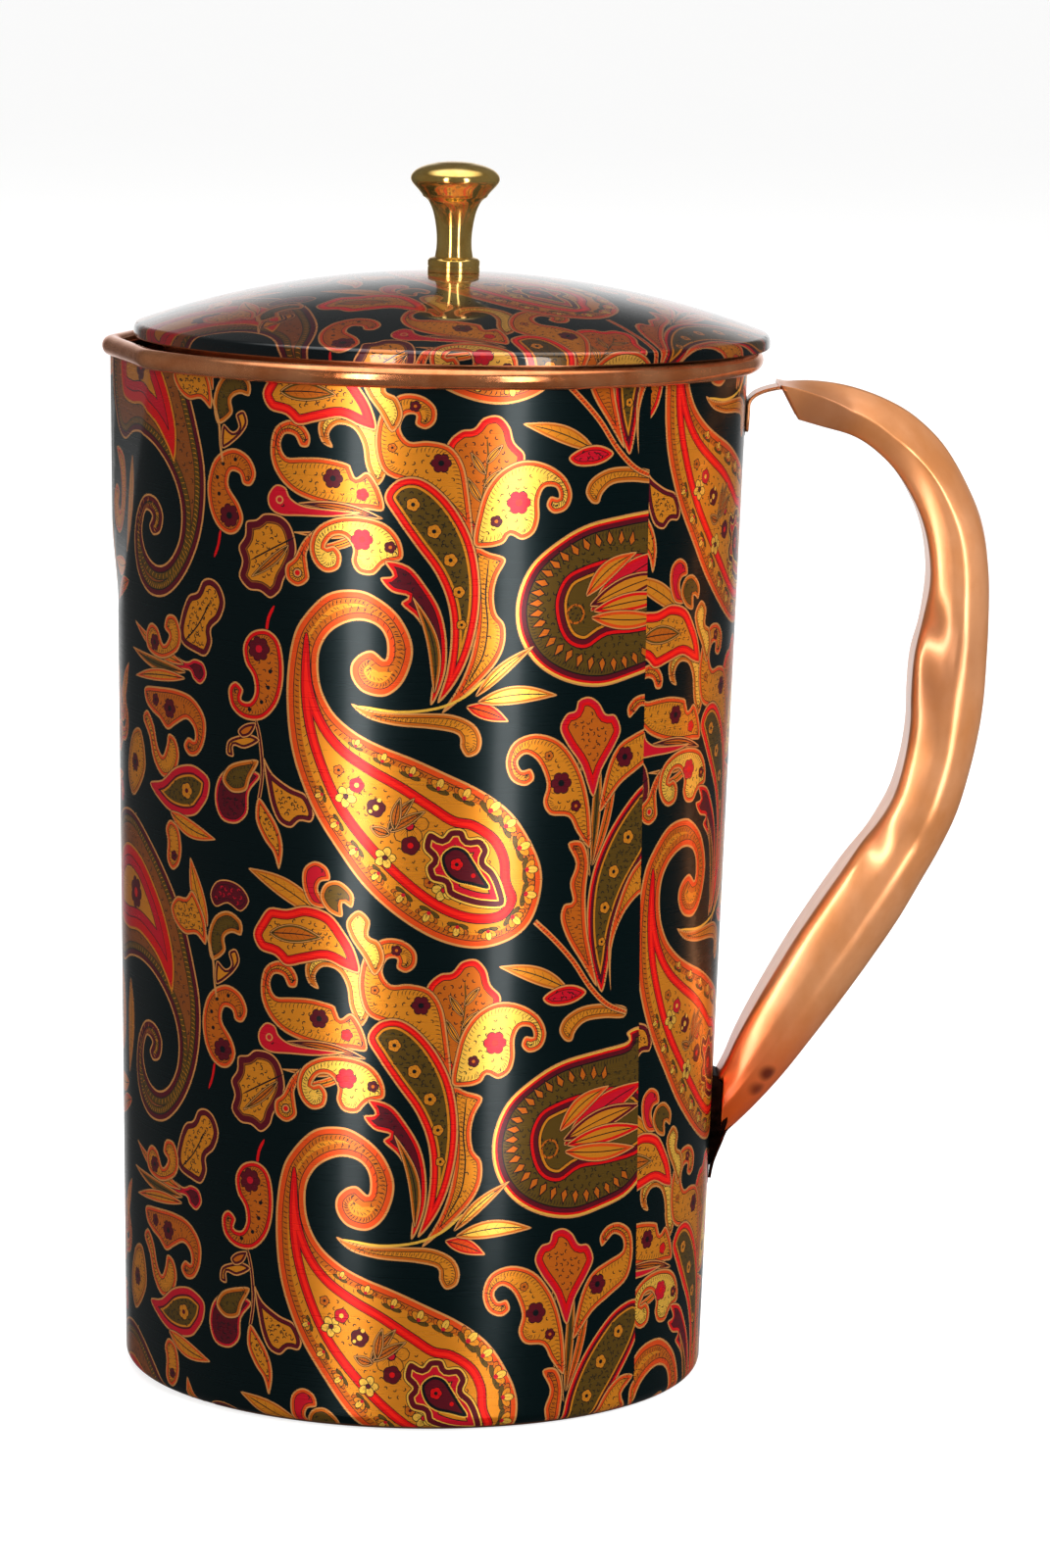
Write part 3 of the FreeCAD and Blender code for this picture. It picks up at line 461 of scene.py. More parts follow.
def round_c(rng):
    A = Art()
    P = ccw(spl([(50.5, 173.2), (47.6, 174.4), (44.6, 173.6), (44.9, 171.9), (38, 171.1), (30, 169.8), (24, 167), (18.6, 162.4), (16.1, 156), (16.7, 149.6), (20.2, 144.2), (26, 140.8),
                 (33, 139.5), (40, 140.6), (47, 142.6), (52.6, 147.4), (55.4, 153.6), (55.2, 160.4), (52.6, 166.2), (51.2, 170)], True, 5))
    A.fill(inset(P, -0.15), "dark"); A.fill(P, "line"); A.band(P, 0.3, "goldL"); A.band(P, 0.62, "red"); A.band(P, 1.05, "maroon"); A.band(P, 1.9, "dark"); A.band(P, 2.15, "olive")
    ticks(A, P, 2.3, 1.1, 0.75, ink="dark", w=0.17, lean=0.15)
    squiggles(A, inset(P, 3.8), rng, 1.7, size=0.9)
    Q = inset(P, 5.6)
    for i in range(26):
        a = math.pi * (0.42 + 1.3 * i / 25)
        c = np.array([35.5 + 15.4 * math.cos(a), 155.2 + 11.4 * math.sin(a)])
        d = np.array([math.cos(a), math.sin(a)])
        n = np.array([-d[1], d[0]])
        A.fill(np.array([c - n * 0.9, c + d * 2.1 + n * 0.25, c + n * 0.9, c - d * 1.2]), "dark")
        A.fill(np.array([c - n * 0.62, c + d * 1.6 + n * 0.2, c + n * 0.62, c - d * 0.9]), "amber")
    R = ccw(spl([(40, 163.6), (34, 163.0), (29, 161.8), (25.4, 160.0), (23.6, 156), (24.2, 151.4), (26.3, 148.0), (30, 146.9), (34.4, 149.0), (41, 149.2), (50, 150.4), (53, 156), (48, 162.4)], True, 4))
    A.fill(inset(R, -0.2), "dark"); A.fill(R, "red"); A.band(R, 0.6, "maroon"); A.band(R, 1.5, "dark"); A.band(R, 1.7, "gold"); A.band(R, 2.2, "dark"); A.band(R, 2.35, "olive")
    dot(A, (27.6, 153.2), 1.9, "amber", 12); dot(A, (27.6, 153.2), 1.5, "olive", 12); squiggles(A, ccw(spl([(26, 151.6), (29.4, 151.6), (29.4, 155.4), (26, 155.4)])), rng, 1.0, size=0.6)
    for p, q, w, b, e, i in (((30.6, 153.6), (50, 163.6), 5.2, 1.6, "red", "crimson"), ((29.6, 156.4), (40.6, 164.0), 3.4, 1.2, "orange", "gold"),
                             ((30.4, 154.6), (49, 159.4), 4.2, 0.9, "maroon", "gold"), ((31.2, 153.6), (50, 155.0), 3.6, 0.6, "red", "gold"),
                             ((30.8, 152.4), (48, 151.4), 3.6, -0.4, "orange", "gold")):
        place_leaf(A, p, q, w, b, edge=e, inner=i, line=0.25, we=0.5, veins=False)
    return A


def spray_2(rng):
    A = Art()
    st = [(21.4, 96.4), (25.4, 92.8), (29.6, 88.4), (33.4, 83.4), (37.6, 79.6), (42.4, 77.6)]
    A.stroke(st, 1.3, "dark", 4, taper=False); A.stroke(st, 1.05, "line", 4, taper=False); A.stroke(st, 0.6, "orange", 4)
    ticks(A, spl(st, False, 4), -0.3, 0.6, 0.8, closed=False)
    # narrow leaves under the head
    for p, q, w, b, e, i in (((32.6, 104), (29.4, 128.6), 1.8, 0.9, "olive", "amber"), ((32.8, 106), (33.6, 130), 2.0, -0.3, "amber", "olive"), ((33, 106), (37.6, 127), 1.8, -0.9, "orange", "amber")):
        place_leaf(A, p, q, w, b, edge=e, inner=i, line=0.2, we=0.3)
    H2 = [(32.6, 119), (29.8, 125), (26.8, 129.0), (25.2, 132.2), (26.4, 134.8), (28.2, 135.4), (28.8, 137.2), (31.0, 137.8), (33.2, 136.6), (34.8, 134.4), (37.0, 134.0), (38.4, 131.2), (37.2, 128.4), (34.4, 124)]
    P = ccw(spl(H2, True, 4))
    A.fill(inset(P, -0.12), "dark"); A.fill(P, "line"); A.band(P, 0.32, "crimson"); A.band(P, 1.0, "red"); A.band(P, 1.6, "dark"); A.band(P, 1.75, "amber")
    squiggles(A, inset(P, 2.2), rng, 1.4, size=0.8)
    K5 = [(32.4, 109.5), (29.4, 112.6), (27.5, 115.6), (23.8, 116.2), (22.3, 118.6), (22.9, 122), (21.2, 126.0), (18.8, 127.7), (17.2, 126.4), (18.0, 124.7), (19.7, 124.9), (20.4, 123), (18.6, 121.8),
          (16, 123), (14.9, 126.4), (16.4, 130), (20.4, 131.4), (25, 130), (28.4, 126.4), (30.8, 121.6), (32.2, 115.6)]
    shape(A, K5, "orange", 0.5, "gold", tk=0.95)
    rosette(A, (25.8, 122.0), 2.0, "maroon", "dark", 6)
    rosette(A, (29.0, 117.6), 1.0, "maroon", "amber", 5)
    rosette(A, (23.2, 127.2), 0.8, "amber", "dark", 5)
    K6 = [(34.2, 116), (34.8, 121), (36.2, 125.6), (38.4, 128.6), (42, 130.2), (45.8, 131.6), (45.6, 134), (43.4, 135.2), (41.8, 134.2), (40.3, 133.2), (39.8, 135.2), (41.6, 137), (44.8, 137.2), (48, 135), (48.8, 130.4),
          (47.4, 126), (43, 123.4), (38.6, 120.8)]
    shape(A, K6, "orange", 0.5, "gold", tk=0.9)
    rosette(A, (39.6, 126.0), 1.9, "maroon", "dark", 6)
    LL = [(36.2, 82), (33.4, 88), (32.2, 96), (32.9, 104), (35.8, 111), (40, 116.6), (44.6, 120.4), (50, 121.6), (52.4, 118.6), (50.6, 113.4), (46.4, 107.6), (41.4, 101), (38.6, 94), (37.6, 87)]
    P = ccw(spl(LL, True, 5))
    A.fill(inset(P, -0.15), "dark"); A.fill(P, "line"); A.band(P, 0.34, "red"); A.band(P, 0.8, "maroon"); A.band(P, 1.3, "dark"); A.band(P, 1.45, "gold"); A.band(P, 1.85, "olive")
    squiggles(A, inset(P, 2.1), rng, 1.3, size=0.85)
    for c, r in (((45.6, 116), 1.25), ((41.2, 110.8), 1.3), ((38.0, 104.6), 1.2), ((36.2, 98), 1.1), ((35.8, 91.6), 0.8)):
        rosette(A, c, r, "gold", "dark", 5, rng.uniform(0, 6))
    W2 = [(38.4, 82), (38.2, 90), (40.6, 96), (44.6, 99.6), (48.6, 100.4), (47.2, 103.6), (50.4, 106.6), (46.6, 107.2), (42.4, 104.2), (39.4, 98.6), (37.4, 91)]
    shape(A, W2, "orange", 0.5, "gold", tk=0.7)
    SL = [(35.0, 83.2), (31.4, 88), (28.2, 92.6), (26.6, 96.6), (27.2, 99.2), (29.0, 99.8), (28.3, 103.2), (29.4, 106.8), (27.6, 110.6), (30.6, 110.8), (32.2, 107), (31.8, 101), (32.4, 94), (33.9, 88)]
    shape(A, SL, "orange", 0.6, "amber", tk=0.85)
    place_leaf(A, (30.4, 183.2), (16.4, 188.2), 3.3, -0.7, edge="amber", inner="gold")
    P = shape(A, [(34.4, 182.6), (31.6, 184), (28.2, 183.8), (25.2, 182), (26.8, 180.4), (30.4, 180.3), (33.2, 181.2)], "red", 0.5, "crimson")
    squiggles(A, inset(P, 0.9), rng, 1.1, size=0.6)
    shape(A, [(44, 178.6), (38.6, 179.8), (33.6, 179.7), (30, 178.0), (28.8, 175.6), (30.0, 173.6), (31.6, 173.4), (32.4, 175.2), (34.6, 176.8), (39, 177.0), (43.6, 176.6)], "amber", 0.5, "gold", tk=0.6)
    return A


def buds(rng):
    A = Art()
    B1 = [(-38.4, 165.9), (-41.0, 167.2), (-42.9, 170.4), (-43.4, 175), (-41.6, 179.6), (-37.6, 181.8), (-34, 180.7), (-32.3, 177.7), (-33.3, 175.3), (-35.1, 175.4), (-35.9, 177.2), (-37.8, 177.4), (-38.3, 174.8),
          (-36, 171.8), (-35.0, 169.0), (-36.2, 166.6)]
    A.stroke([(-41.8, 161.4), (-40.8, 163.8), (-40.2, 166.8)], 0.55, "red", 3)
    shape(A, B1, "orange", 0.55, "amber", tk=0.8, rng=rng)
    P = ccw(spl(B1)); 
    rosette(A, (-38.2, 169.4), 2.1, "maroon", "dark", 7)
    for c in ((-40.6, 173.2), (-41, 176.2), (-39.6, 178.8), (-36.8, 179.8)):
        dot(A, c, 0.42, "dark", 7)
    A.stroke([(-28.4, 153.6), (-29.6, 151.2), (-30.0, 148.6)], 0.6, "red", 3)
    B2 = [(-30.0, 149.1), (-33.2, 148.4), (-35.0, 145.8), (-34.6, 142.6), (-32.9, 140.2), (-32.5, 137.4), (-33.6, 135.5), (-35.4, 135.7), (-35.0, 137.6), (-36.8, 138.9), (-38.4, 137.4), (-37.8, 134.2),
          (-35, 132.2), (-31, 132.3), (-28, 135), (-26.6, 139), (-26.5, 143.6), (-27.5, 147.4)]
    shape(A, B2, "red", 0.6, "amber", tk=0.8)
    rosette(A, (-31.6, 145.4), 2.2, "maroon", "crimson", 7)
    for c in ((-29.2, 141.4), (-29.6, 138.4), (-31, 135.6), (-33.6, 134.0)):
        dot(A, c, 0.42, "dark", 7)
    # twig below the second bud
    A.stroke([(-32.2, 132.2), (-31.2, 128), (-30.8, 122), (-31.8, 116)], 0.75, "line", 4)
    A.stroke([(-32.2, 132.2), (-31.2, 128), (-30.8, 122), (-31.8, 116)], 0.4, "maroon", 4)
    P = shape(A, [(-31.2, 121.8), (-33.6, 118.6), (-34.0, 114.6), (-36.6, 112.4), (-40.2, 112.9), (-41.8, 116.4), (-40.8, 120.6), (-37.4, 123.2), (-33.8, 123)], "crimson", 0.4, "maroon")
    squiggles(A, inset(P, 1.2), rng, 1.5, size=0.9)
    shape(A, [(-31.6, 124.6), (-34.8, 124.4), (-38.4, 123.0), (-39.9, 120.2), (-37.6, 118.2), (-34.4, 118.8), (-33.4, 121.2)], "amber", 0.5, "olive", tk=0.6)
    shape(A, [(-31.4, 128.4), (-34.6, 126.6), (-37.2, 126.9), (-37.2, 124.9), (-38.9, 125.2), (-38.6, 127.6), (-36.4, 128.8), (-33.4, 129.4)], "maroon", 0.3, "gold", line=0.28)
    shape(A, [(-32.2, 131.6), (-34.6, 131.2), (-36.2, 129.8), (-35.2, 128.6), (-33.2, 129.4)], "maroon", 0.3, "amber", line=0.24)
    P = shape(A, [(-30.6, 125.4), (-28.6, 122.6), (-25.0, 120.4), (-21.8, 119.2), (-20.2, 116.2), (-20.8, 114.2), (-23.0, 114.2), (-24.8, 112.8), (-27.2, 113.6), (-28.8, 116.4), (-29.8, 120.4)], "maroon", 0.7, "gold", rng=rng)
    squiggles(A, inset(P, 1.6), rng, 1.3, size=0.8)
    P = shape(A, [(-31.6, 117.8), (-32.2, 113.8), (-30.4, 110.2), (-28.4, 107.8), (-27.2, 104.8), (-26.4, 108.6), (-27.2, 112.2), (-29.2, 115.4)], "orange", 0.4, "gold", rng=rng)
    squiggles(A, inset(P, 0.8), rng, 1.2, size=0.7)
    # leaves and curls beside the spray
    place_leaf(A, (-18.4, 96.8), (-33.8, 104.4), 3.9, -0.8, edge="amber", inner="gold")
    shape(A, [(-17.4, 98.6), (-20.6, 98.8), (-22.3, 102.0), (-22.2, 105.4), (-20.0, 107.0), (-17.6, 106.0), (-17.0, 103.8), (-18.8, 103.2), (-19.2, 101.4)], "orange", 0.5, "crimson", line=0.3)
    shape(A, [(-14.6, 97.0), (-17.2, 97.8), (-18.9, 100.4), (-17.9, 103.0), (-15.2, 103.6), (-12.6, 101.4), (-12.8, 98.8), (-14.6, 99.6)], "amber", 0.5, "olive", line=0.3)
    RB = [(-11.2, 86.8), (-12.0, 90.6), (-14.0, 94.0), (-17.0, 97.4), (-21.6, 98.6), (-25.6, 97.6), (-29.2, 97.5), (-31.2, 95.2), (-32.7, 92.2), (-31.2, 89.4), (-28.0, 88.6), (-25.6, 86.9), (-21.6, 87.8), (-17.6, 88.6), (-14.0, 87.2)]
    P = ccw(spl(RB, True, 4))
    A.fill(inset(P, -0.12), "dark"); A.fill(P, "line"); A.band(P, 0.34, "red"); A.band(P, 0.8, "redL"); A.band(P, 1.5, "red"); A.band(P, 1.9, "dark"); A.band(P, 2.05, "gold")
    squiggles(A, inset(P, 2.6), rng, 1.4, size=0.85)
    place_leaf(A, (-29, 92.8), (-18.6, 92.8), 3.4, 0.3, edge="olive", inner="amber", line=0.16)
    shape(A, [(-8.4, 86.4), (-10.6, 89.8), (-13.0, 93.2), (-13.8, 96.2), (-11.6, 98.4), (-9.4, 96.6), (-9.6, 93.8), (-7.6, 92.6), (-6.6, 89.4)], "amber", 0.5, "goldL", tk=0.5)
    return A


def left_side(rng):
    A = Art()
    # big paisley that turns round towards the left
    out = [(-66, 209), (-57, 203), (-50, 194.6), (-46, 185), (-44, 176), (-45, 166), (-49, 158), (-55, 153), (-61.5, 152.4), (-66.6, 155.6), (-68.6, 161), (-67.4, 166.6), (-63.6, 170.7), (-59, 170.8),
           (-56.4, 168), (-57.2, 164.6), (-60, 163.6), (-61.6, 165.2), (-60.4, 167.2), (-63.0, 167.8), (-64.7, 163.8), (-62.8, 160), (-58.6, 158.2), (-54.4, 159.6), (-51.2, 164), (-50.8, 170),
           (-53.4, 175.6), (-58.6, 180), (-65, 182), (-72, 181.6), (-79, 179.6), (-85, 182), (-89, 190), (-88, 200), (-82, 207), (-74, 210)]
    P = ccw(spl(out, True, 5))
    A.fill(inset(P, -0.15), "dark"); A.fill(P, "line"); A.band(P, 0.4, "maroon"); A.band(P, 1.3, "dark"); A.band(P, 1.5, "olive")
    ticks(A, P, 1.6, 1.0, 0.95, ink="gold", w=0.17)
    A.band(P, 2.7, "dark"); A.band(P, 2.85, "amberD"); 
    squiggles(A, inset(P, 3.4), rng, 2.0, size=1.0)
    R = ccw(spl([(-52.6, 178), (-52.0, 184), (-54.4, 191), (-58.6, 197), (-65, 202), (-73, 203.4), (-80, 200.4), (-83, 194), (-80.8, 188), (-74, 186.8), (-66, 187.2), (-59, 184.6), (-54.8, 180.6)], True, 5))
    A.fill(inset(R, -0.18), "dark"); A.fill(R, "gold"); A.band(R, 0.5, "red"); A.band(R, 2.3, "dark"); A.band(R, 2.5, "crimson"); A.band(R, 4.2, "dark"); A.band(R, 4.4, "gold")
    rosette(A, (-68, 194.6), 3.0, "maroon", "red", 7)
    # leaves and a curl behind its hook
    place_leaf(A, (-72.2, 177.4), (-74.0, 158.6), 4.4, 0.9, edge="amber", inner="gold", line=0.24, we=0.3)
    shape(A, [(-79.6, 176.4), (-77.2, 170.6), (-78.4, 164.6), (-82.4, 161.4), (-87.0, 162.6), (-88.6, 167.0), (-86.4, 170.4), (-83.4, 169.4), (-84.0, 166.8), (-82.2, 165.8), (-81.0, 168.8), (-82.4, 173.4), (-86.0, 177.6)], "orange", 0.5, "gold", tk=0.8)
    place_leaf(A, (-74.6, 156.4), (-88.6, 156.0), 3.8, 0.8, edge="orange", inner="gold", line=0.24, we=0.3)
    place_leaf(A, (-72.4, 153.6), (-85.0, 148.6), 3.4, -0.6, edge="red", inner="amber", line=0.24, we=0.3)
    # acanthus above the scrolls
    P = shape(A, [(-50.4, 144.4), (-47.0, 143.2), (-44.0, 142.8), (-42.4, 145.4), (-42.6, 148.0), (-40.4, 150.0), (-39.2, 153.2), (-40.4, 156.2), (-42.6, 157.4), (-44.8, 156.8), (-46.2, 154.6), (-48.6, 153.6), (-50.4, 150.6), (-51.4, 147)],
              "maroon", 0.9, "gold", rng=rng)
    squiggles(A, inset(P, 1.8), rng, 1.4, size=0.85)
    A.stroke([(-50, 144.8), (-46, 148.4), (-42.6, 153.4)], 0.3, "dark", 4)
    shape(A, [(-53.6, 142), (-49.4, 141.2), (-47.0, 142.0), (-44.6, 141.4), (-43.8, 139.2), (-45.4, 137.4), (-47.4, 138.2), (-48.6, 139.6), (-53, 139.6)], "crimson", 0.5, "maroon", line=0.3)
    # fan of narrow leaves going left
    for p, q, w, b, e, i in (((-50, 140.6), (-68.6, 146.6), 2.6, 0.9, "orange", "gold"), ((-49.4, 139.2), (-70, 141.4), 2.4, 0.6, "amber", "olive"), ((-49.6, 138), (-68.6, 136.2), 2.4, -0.5, "orange", "gold")):
        place_leaf(A, p, q, w, b, edge=e, inner=i, line=0.24, we=0.3)
    shape(A, [(-52, 142.8), (-50.8, 146.0), (-52.4, 149.2), (-55.2, 149.2), (-56.2, 146.8), (-54.6, 145.4), (-56.6, 143.6), (-58.6, 146.4), (-61.4, 147.0), (-63.4, 144.6), (-62.2, 141.8), (-57, 140.8)], "orange", 0.5, "gold", tk=0.7)
    rosette(A, (-59.8, 143.6), 1.5, "maroon", "dark", 6)
    K7 = [(-64, 134.6), (-58, 135.4), (-52, 135.6), (-47.4, 134.6), (-44.3, 131.4), (-44.2, 127.4), (-46, 124.3), (-48.6, 123.7), (-50.2, 125.4), (-48.9, 127.1), (-47.1, 126.8), (-47.3, 129),
          (-49.4, 130.4), (-52.6, 129.0), (-55.4, 127.7), (-58.2, 129.4), (-61, 130.4), (-63.6, 132)]
    shape(A, K7, "orange", 0.55, "amber", tk=0.95)
    rosette(A, (-54.6, 131.8), 1.8, "maroon", "dark", 6)
    rosette(A, (-59.6, 132.8), 1.1, "maroon", "dark", 5)
    shape(A, [(-65, 128.6), (-62.4, 125.6), (-60.6, 121.4), (-57.2, 118.6), (-53.4, 119.6), (-51.6, 123), (-52.6, 126.2), (-55.0, 127.0), (-55.8, 124.6), (-57.2, 122.6), (-59.0, 124.4), (-60.4, 128), (-63, 130.4)],
          "orange", 0.5, "gold", tk=0.75)
    shape(A, [(-66, 126), (-64, 120), (-66.6, 115.6), (-71, 113), (-74, 116.6), (-73, 121.6), (-70, 125.6)], "amber", 0.5, "gold", tk=0.8)
    rosette(A, (-69.4, 119.6), 1.7, "maroon", "dark", 6)
    RBL = [(-62.2, 116.6), (-57.4, 118.0), (-53.2, 120.8), (-49.2, 122.0), (-46.2, 121.8), (-43.2, 120.0), (-43.4, 116.8), (-45.0, 114.4), (-47.2, 112.6), (-51.4, 112.0), (-56.4, 113.0)]
    P = ccw(spl(RBL, True, 4))
    A.fill(inset(P, -0.12), "dark"); A.fill(P, "line"); A.band(P, 0.34, "crimson"); A.band(P, 1.5, "maroon"); A.band(P, 1.9, "gold"); A.band(P, 2.3, "olive")
    squiggles(A, inset(P, 2.4), rng, 1.3, size=0.8)
    rosette(A, (-49.4, 117), 1.5, "gold", "maroon", 5)
    place_leaf(A, (-54.6, 112.4), (-41.6, 108.8), 3.4, -0.7, edge="orange", inner="gold")
    shape(A, [(-54.6, 110.8), (-52.0, 109.6), (-51.0, 106.0), (-51.8, 102.8), (-54.0, 101.4), (-55.8, 103.2), (-55.6, 106.6), (-56.2, 109)], "orange", 0.5, "gold", tk=0.5)
    rosette(A, (-53.4, 104.2), 0.9, "maroon", "dark", 5)
    place_leaf(A, (-43.8, 92.0), (-48.4, 104.6), 3.6, 0.5, edge="orange", inner="gold")
    P = shape(A, [(-44.2, 88.6), (-46.8, 90.2), (-50.0, 89.8), (-53.0, 91.4), (-54.6, 94.2), (-52.6, 96.6), (-49.8, 96.8), (-48.0, 98.4), (-45.8, 96.0), (-44.2, 92.6)], "orange", 0.5, "gold", rng=rng)
    squiggles(A, inset(P, 1.2), rng, 1.3, size=0.8)
    shape(A, [(-42.6, 86), (-43.6, 90.4), (-41.8, 94.4), (-38.4, 95.8), (-35.4, 94.2), (-35.4, 91.6), (-37.6, 91.8), (-39.4, 90.6), (-39.2, 88)], "amber", 0.5, "olive", tk=0.6)
    P = shape(A, [(-41.6, 96.2), (-43.0, 98.4), (-41.4, 101.0), (-38.2, 101.6), (-35.2, 100.6), (-33.6, 98.2), (-35.6, 96.0), (-38.6, 97.2)], "maroon", 0.6, "maroon", line=0.26)
    squiggles(A, inset(P, 0.9), rng, 1.3, ink="crimson", size=0.8)
    A.stroke([(-44.2, 91), (-42.4, 86.6), (-42.0, 82.4), (-41.4, 79)], 0.5, "line", 4)
    shape(A, [(-41.6, 81.6), (-38.0, 83.6), (-35.8, 86.4), (-36.6, 88.8), (-38.4, 88.0), (-37.8, 85.8), (-39.2, 84.8), (-41.4, 86)], "maroon", 0.3, "gold", line=0.26)
    return A


def filler(rng):
    """The stretch between two repeats, on the side away from the front."""
    A = Art()
    for c, rr, mir in (((60, 122), 20, False), ((62, 104), 200, True), ((58, 134), -40, False), ((70, 90), 110, True)):
        P = spl([(0, -2.6), (2.2, -3.0), (4.3, -2.2), (6.2, -1.9), (8.2, -2.4), (10.4, -1.9), (12.0, -0.2), (12.6, 2.2), (11.5, 4.6),
                 (9.2, 5.6), (7.0, 4.6), (6.8, 2.8), (8.3, 1.9), (9.1, 3.0), (10.2, 2.2), (9.6, 0.6), (7.6, 0.4), (5.6, 2.0), (3.4, 2.9), (1.4, 2.9), (-0.6, 2.2), (-1.8, 0.4), (-1.4, -1.6)], True, 4)
        S = Art()
        rims(S, P, 0.34, "orange", 0.55, "gold")
        ticks(S, P, 1.1, 0.9, 0.9)
        rosette(S, (2.6, 0), 1.7, "maroon", "dark", 6)
        A.put(S, rot(rr, 1.0, mir), c)
    for p, q, w in (((56, 112), (66, 116), 3.2), ((66, 128), (72, 138), 3.4), ((56, 96), (50, 90), 3.0), ((70, 100), (76, 110), 3.2)):
        place_leaf(A, p, q, w, 0.5, edge="orange", inner="gold")
    rosette(A, (64.5, 112.5), 2.2, "crimson", "gold", 6)
    return A


# ------------------------------------------------------------------ shapes shared with the CAD part (mm)
R_TOP, R_BASE, Z_CONE, R_CORNER = 60.0, 55.8, 194.0, 2.5
LIP_HALF, LIP_DEPTH, LIP_LOW, LIP_PROUD = math.radians(31.5), 52.0, 146.0, 1.05
BEAD_R, BEAD_OFF, Z_BEAD = 1.9, 1.05, 196.3
LID_X, LID_R, LID_ARC, LID_Z, LAND_R, HEM_FILLET, HEM_Z = 3.8, 60.4, 177.0, 211.4, 5.5, 1.4, 198.6
RS = 58.0                                   # radius at which the flat drawing is one to one


def cone_r(z):
    return R_BASE + (R_TOP - R_BASE) * z / Z_CONE


def lip_angle(v):
    return LIP_HALF * np.clip((v - LIP_LOW) / LIP_DEPTH, 1e-6, None) ** 0.4


def lip_tip(v):
    f = np.clip((v - LIP_LOW) / 18.0, 0, 1)
    return LIP_PROUD * f * f * (3 - 2 * f)


def wall_map(s, v, zone):
    """Flat drawing to the outside of the wall. Zone 0 is the cone, 1 and 2 are the two flats of the lip."""
    th = s / RS - math.pi / 2
    up = np.maximum(v, R_CORNER)
    ph = (R_CORNER - np.minimum(v, R_CORNER)) / R_CORNER
    r = cone_r(up) - R_CORNER + R_CORNER * np.cos(ph)
    z = up - R_CORNER * np.sin(ph)
    x, y = r * np.cos(th), r * np.sin(th)
    a = lip_angle(v)
    psi = (th + math.pi + math.pi) % (2 * math.pi) - math.pi
    f = np.abs(psi) / a
    sg = np.where(zone == 1, -1.0, 1.0)
    tx = -(r + lip_tip(v))
    fx = tx + f * (-r * np.cos(a) - tx)
    fy = f * sg * r * np.sin(a)
    m = zone > 0
    return np.stack([np.where(m, fx, x), np.where(m, fy, y), z], -1)


def wall_zone(s, v):
    th = s / RS - math.pi / 2
    psi = (th + 2 * math.pi) % (2 * math.pi) - math.pi
    m = (v > LIP_LOW + 0.3) & (np.abs(psi) < lip_angle(v))
    return np.where(m, np.where(psi > 0, 1, 2), 0)


def wall_normals(s, v, zone, e=2.6):
    """Taken over a few millimetres, so that the creases of the lip shade as soft bends in the sheet."""
    du = wall_map(s + e, v, wall_zone(s + e, v)) - wall_map(s - e, v, wall_zone(s - e, v))
    dv = wall_map(s, v + 0.3, zone) - wall_map(s, v - 0.3, zone)
    n = np.cross(du, dv)
    n /= np.maximum(np.linalg.norm(n, axis=1, keepdims=True), 1e-12)
    return n


def lid_profile():
    z_apex = LID_Z + (LID_ARC - math.sqrt(LID_ARC ** 2 - LAND_R ** 2))
    cz = z_apex - LID_ARC
    fr = LID_R - HEM_FILLET
    d = LID_ARC - HEM_FILLET
    fz = cz + math.sqrt(d * d - fr * fr)
    return cz, fr, fz, math.atan2(fz - cz, fr)


LCZ, LFR, LFZ, LANG = lid_profile()
A0 = math.asin(LAND_R / LID_ARC)
L1 = LAND_R
L2 = L1 + LID_ARC * ((math.pi / 2 - LANG) - A0)
L3 = L2 + HEM_FILLET * LANG
L4 = L3 + (LFZ - (HEM_Z + 0.25))


def lid_rz(t, inset=0.0):
    """Length along the lid's outer line to radius and height."""
    t = np.asarray(t, float)
    ang = math.pi / 2 - A0 - (t - L1) / LID_ARC
    ra = LID_ARC - inset
    r2, z2 = ra * np.cos(ang), LCZ + ra * np.sin(ang)
    an3 = LANG - (t - L2) / HEM_FILLET
    rf = HEM_FILLET - inset
    r3, z3 = LFR + rf * np.cos(an3), LFZ + rf * np.sin(an3)
    r4, z4 = np.full_like(t, LFR + rf), LFZ - (t - L3)
    r = np.where(t < L1, t, np.where(t < L2, r2, np.where(t < L3, r3, r4)))
    z = np.where(t < L1, LID_Z - inset, np.where(t < L2, z2, np.where(t < L3, z3, z4)))
    return r, z


def lid_map(p, q, zone=None):
    t = np.hypot(p, q)
    r, z = lid_rz(t)
    k = r / np.maximum(t, 1e-9)
    return np.stack([LID_X + p * k, q * k, z], -1)


def lid_normals(p, q, zone=None):
    t = np.hypot(p, q)
    ang = math.pi / 2 - A0 - (t - L1) / LID_ARC
    an3 = LANG - (t - L2) / HEM_FILLET
    a = np.where(t < L1, math.pi / 2, np.where(t < L2, ang, np.where(t < L3, an3, 0.0)))
    c = np.cos(a) / np.maximum(t, 1e-9)
    return np.stack([p * c, q * c, np.sin(a)], -1)


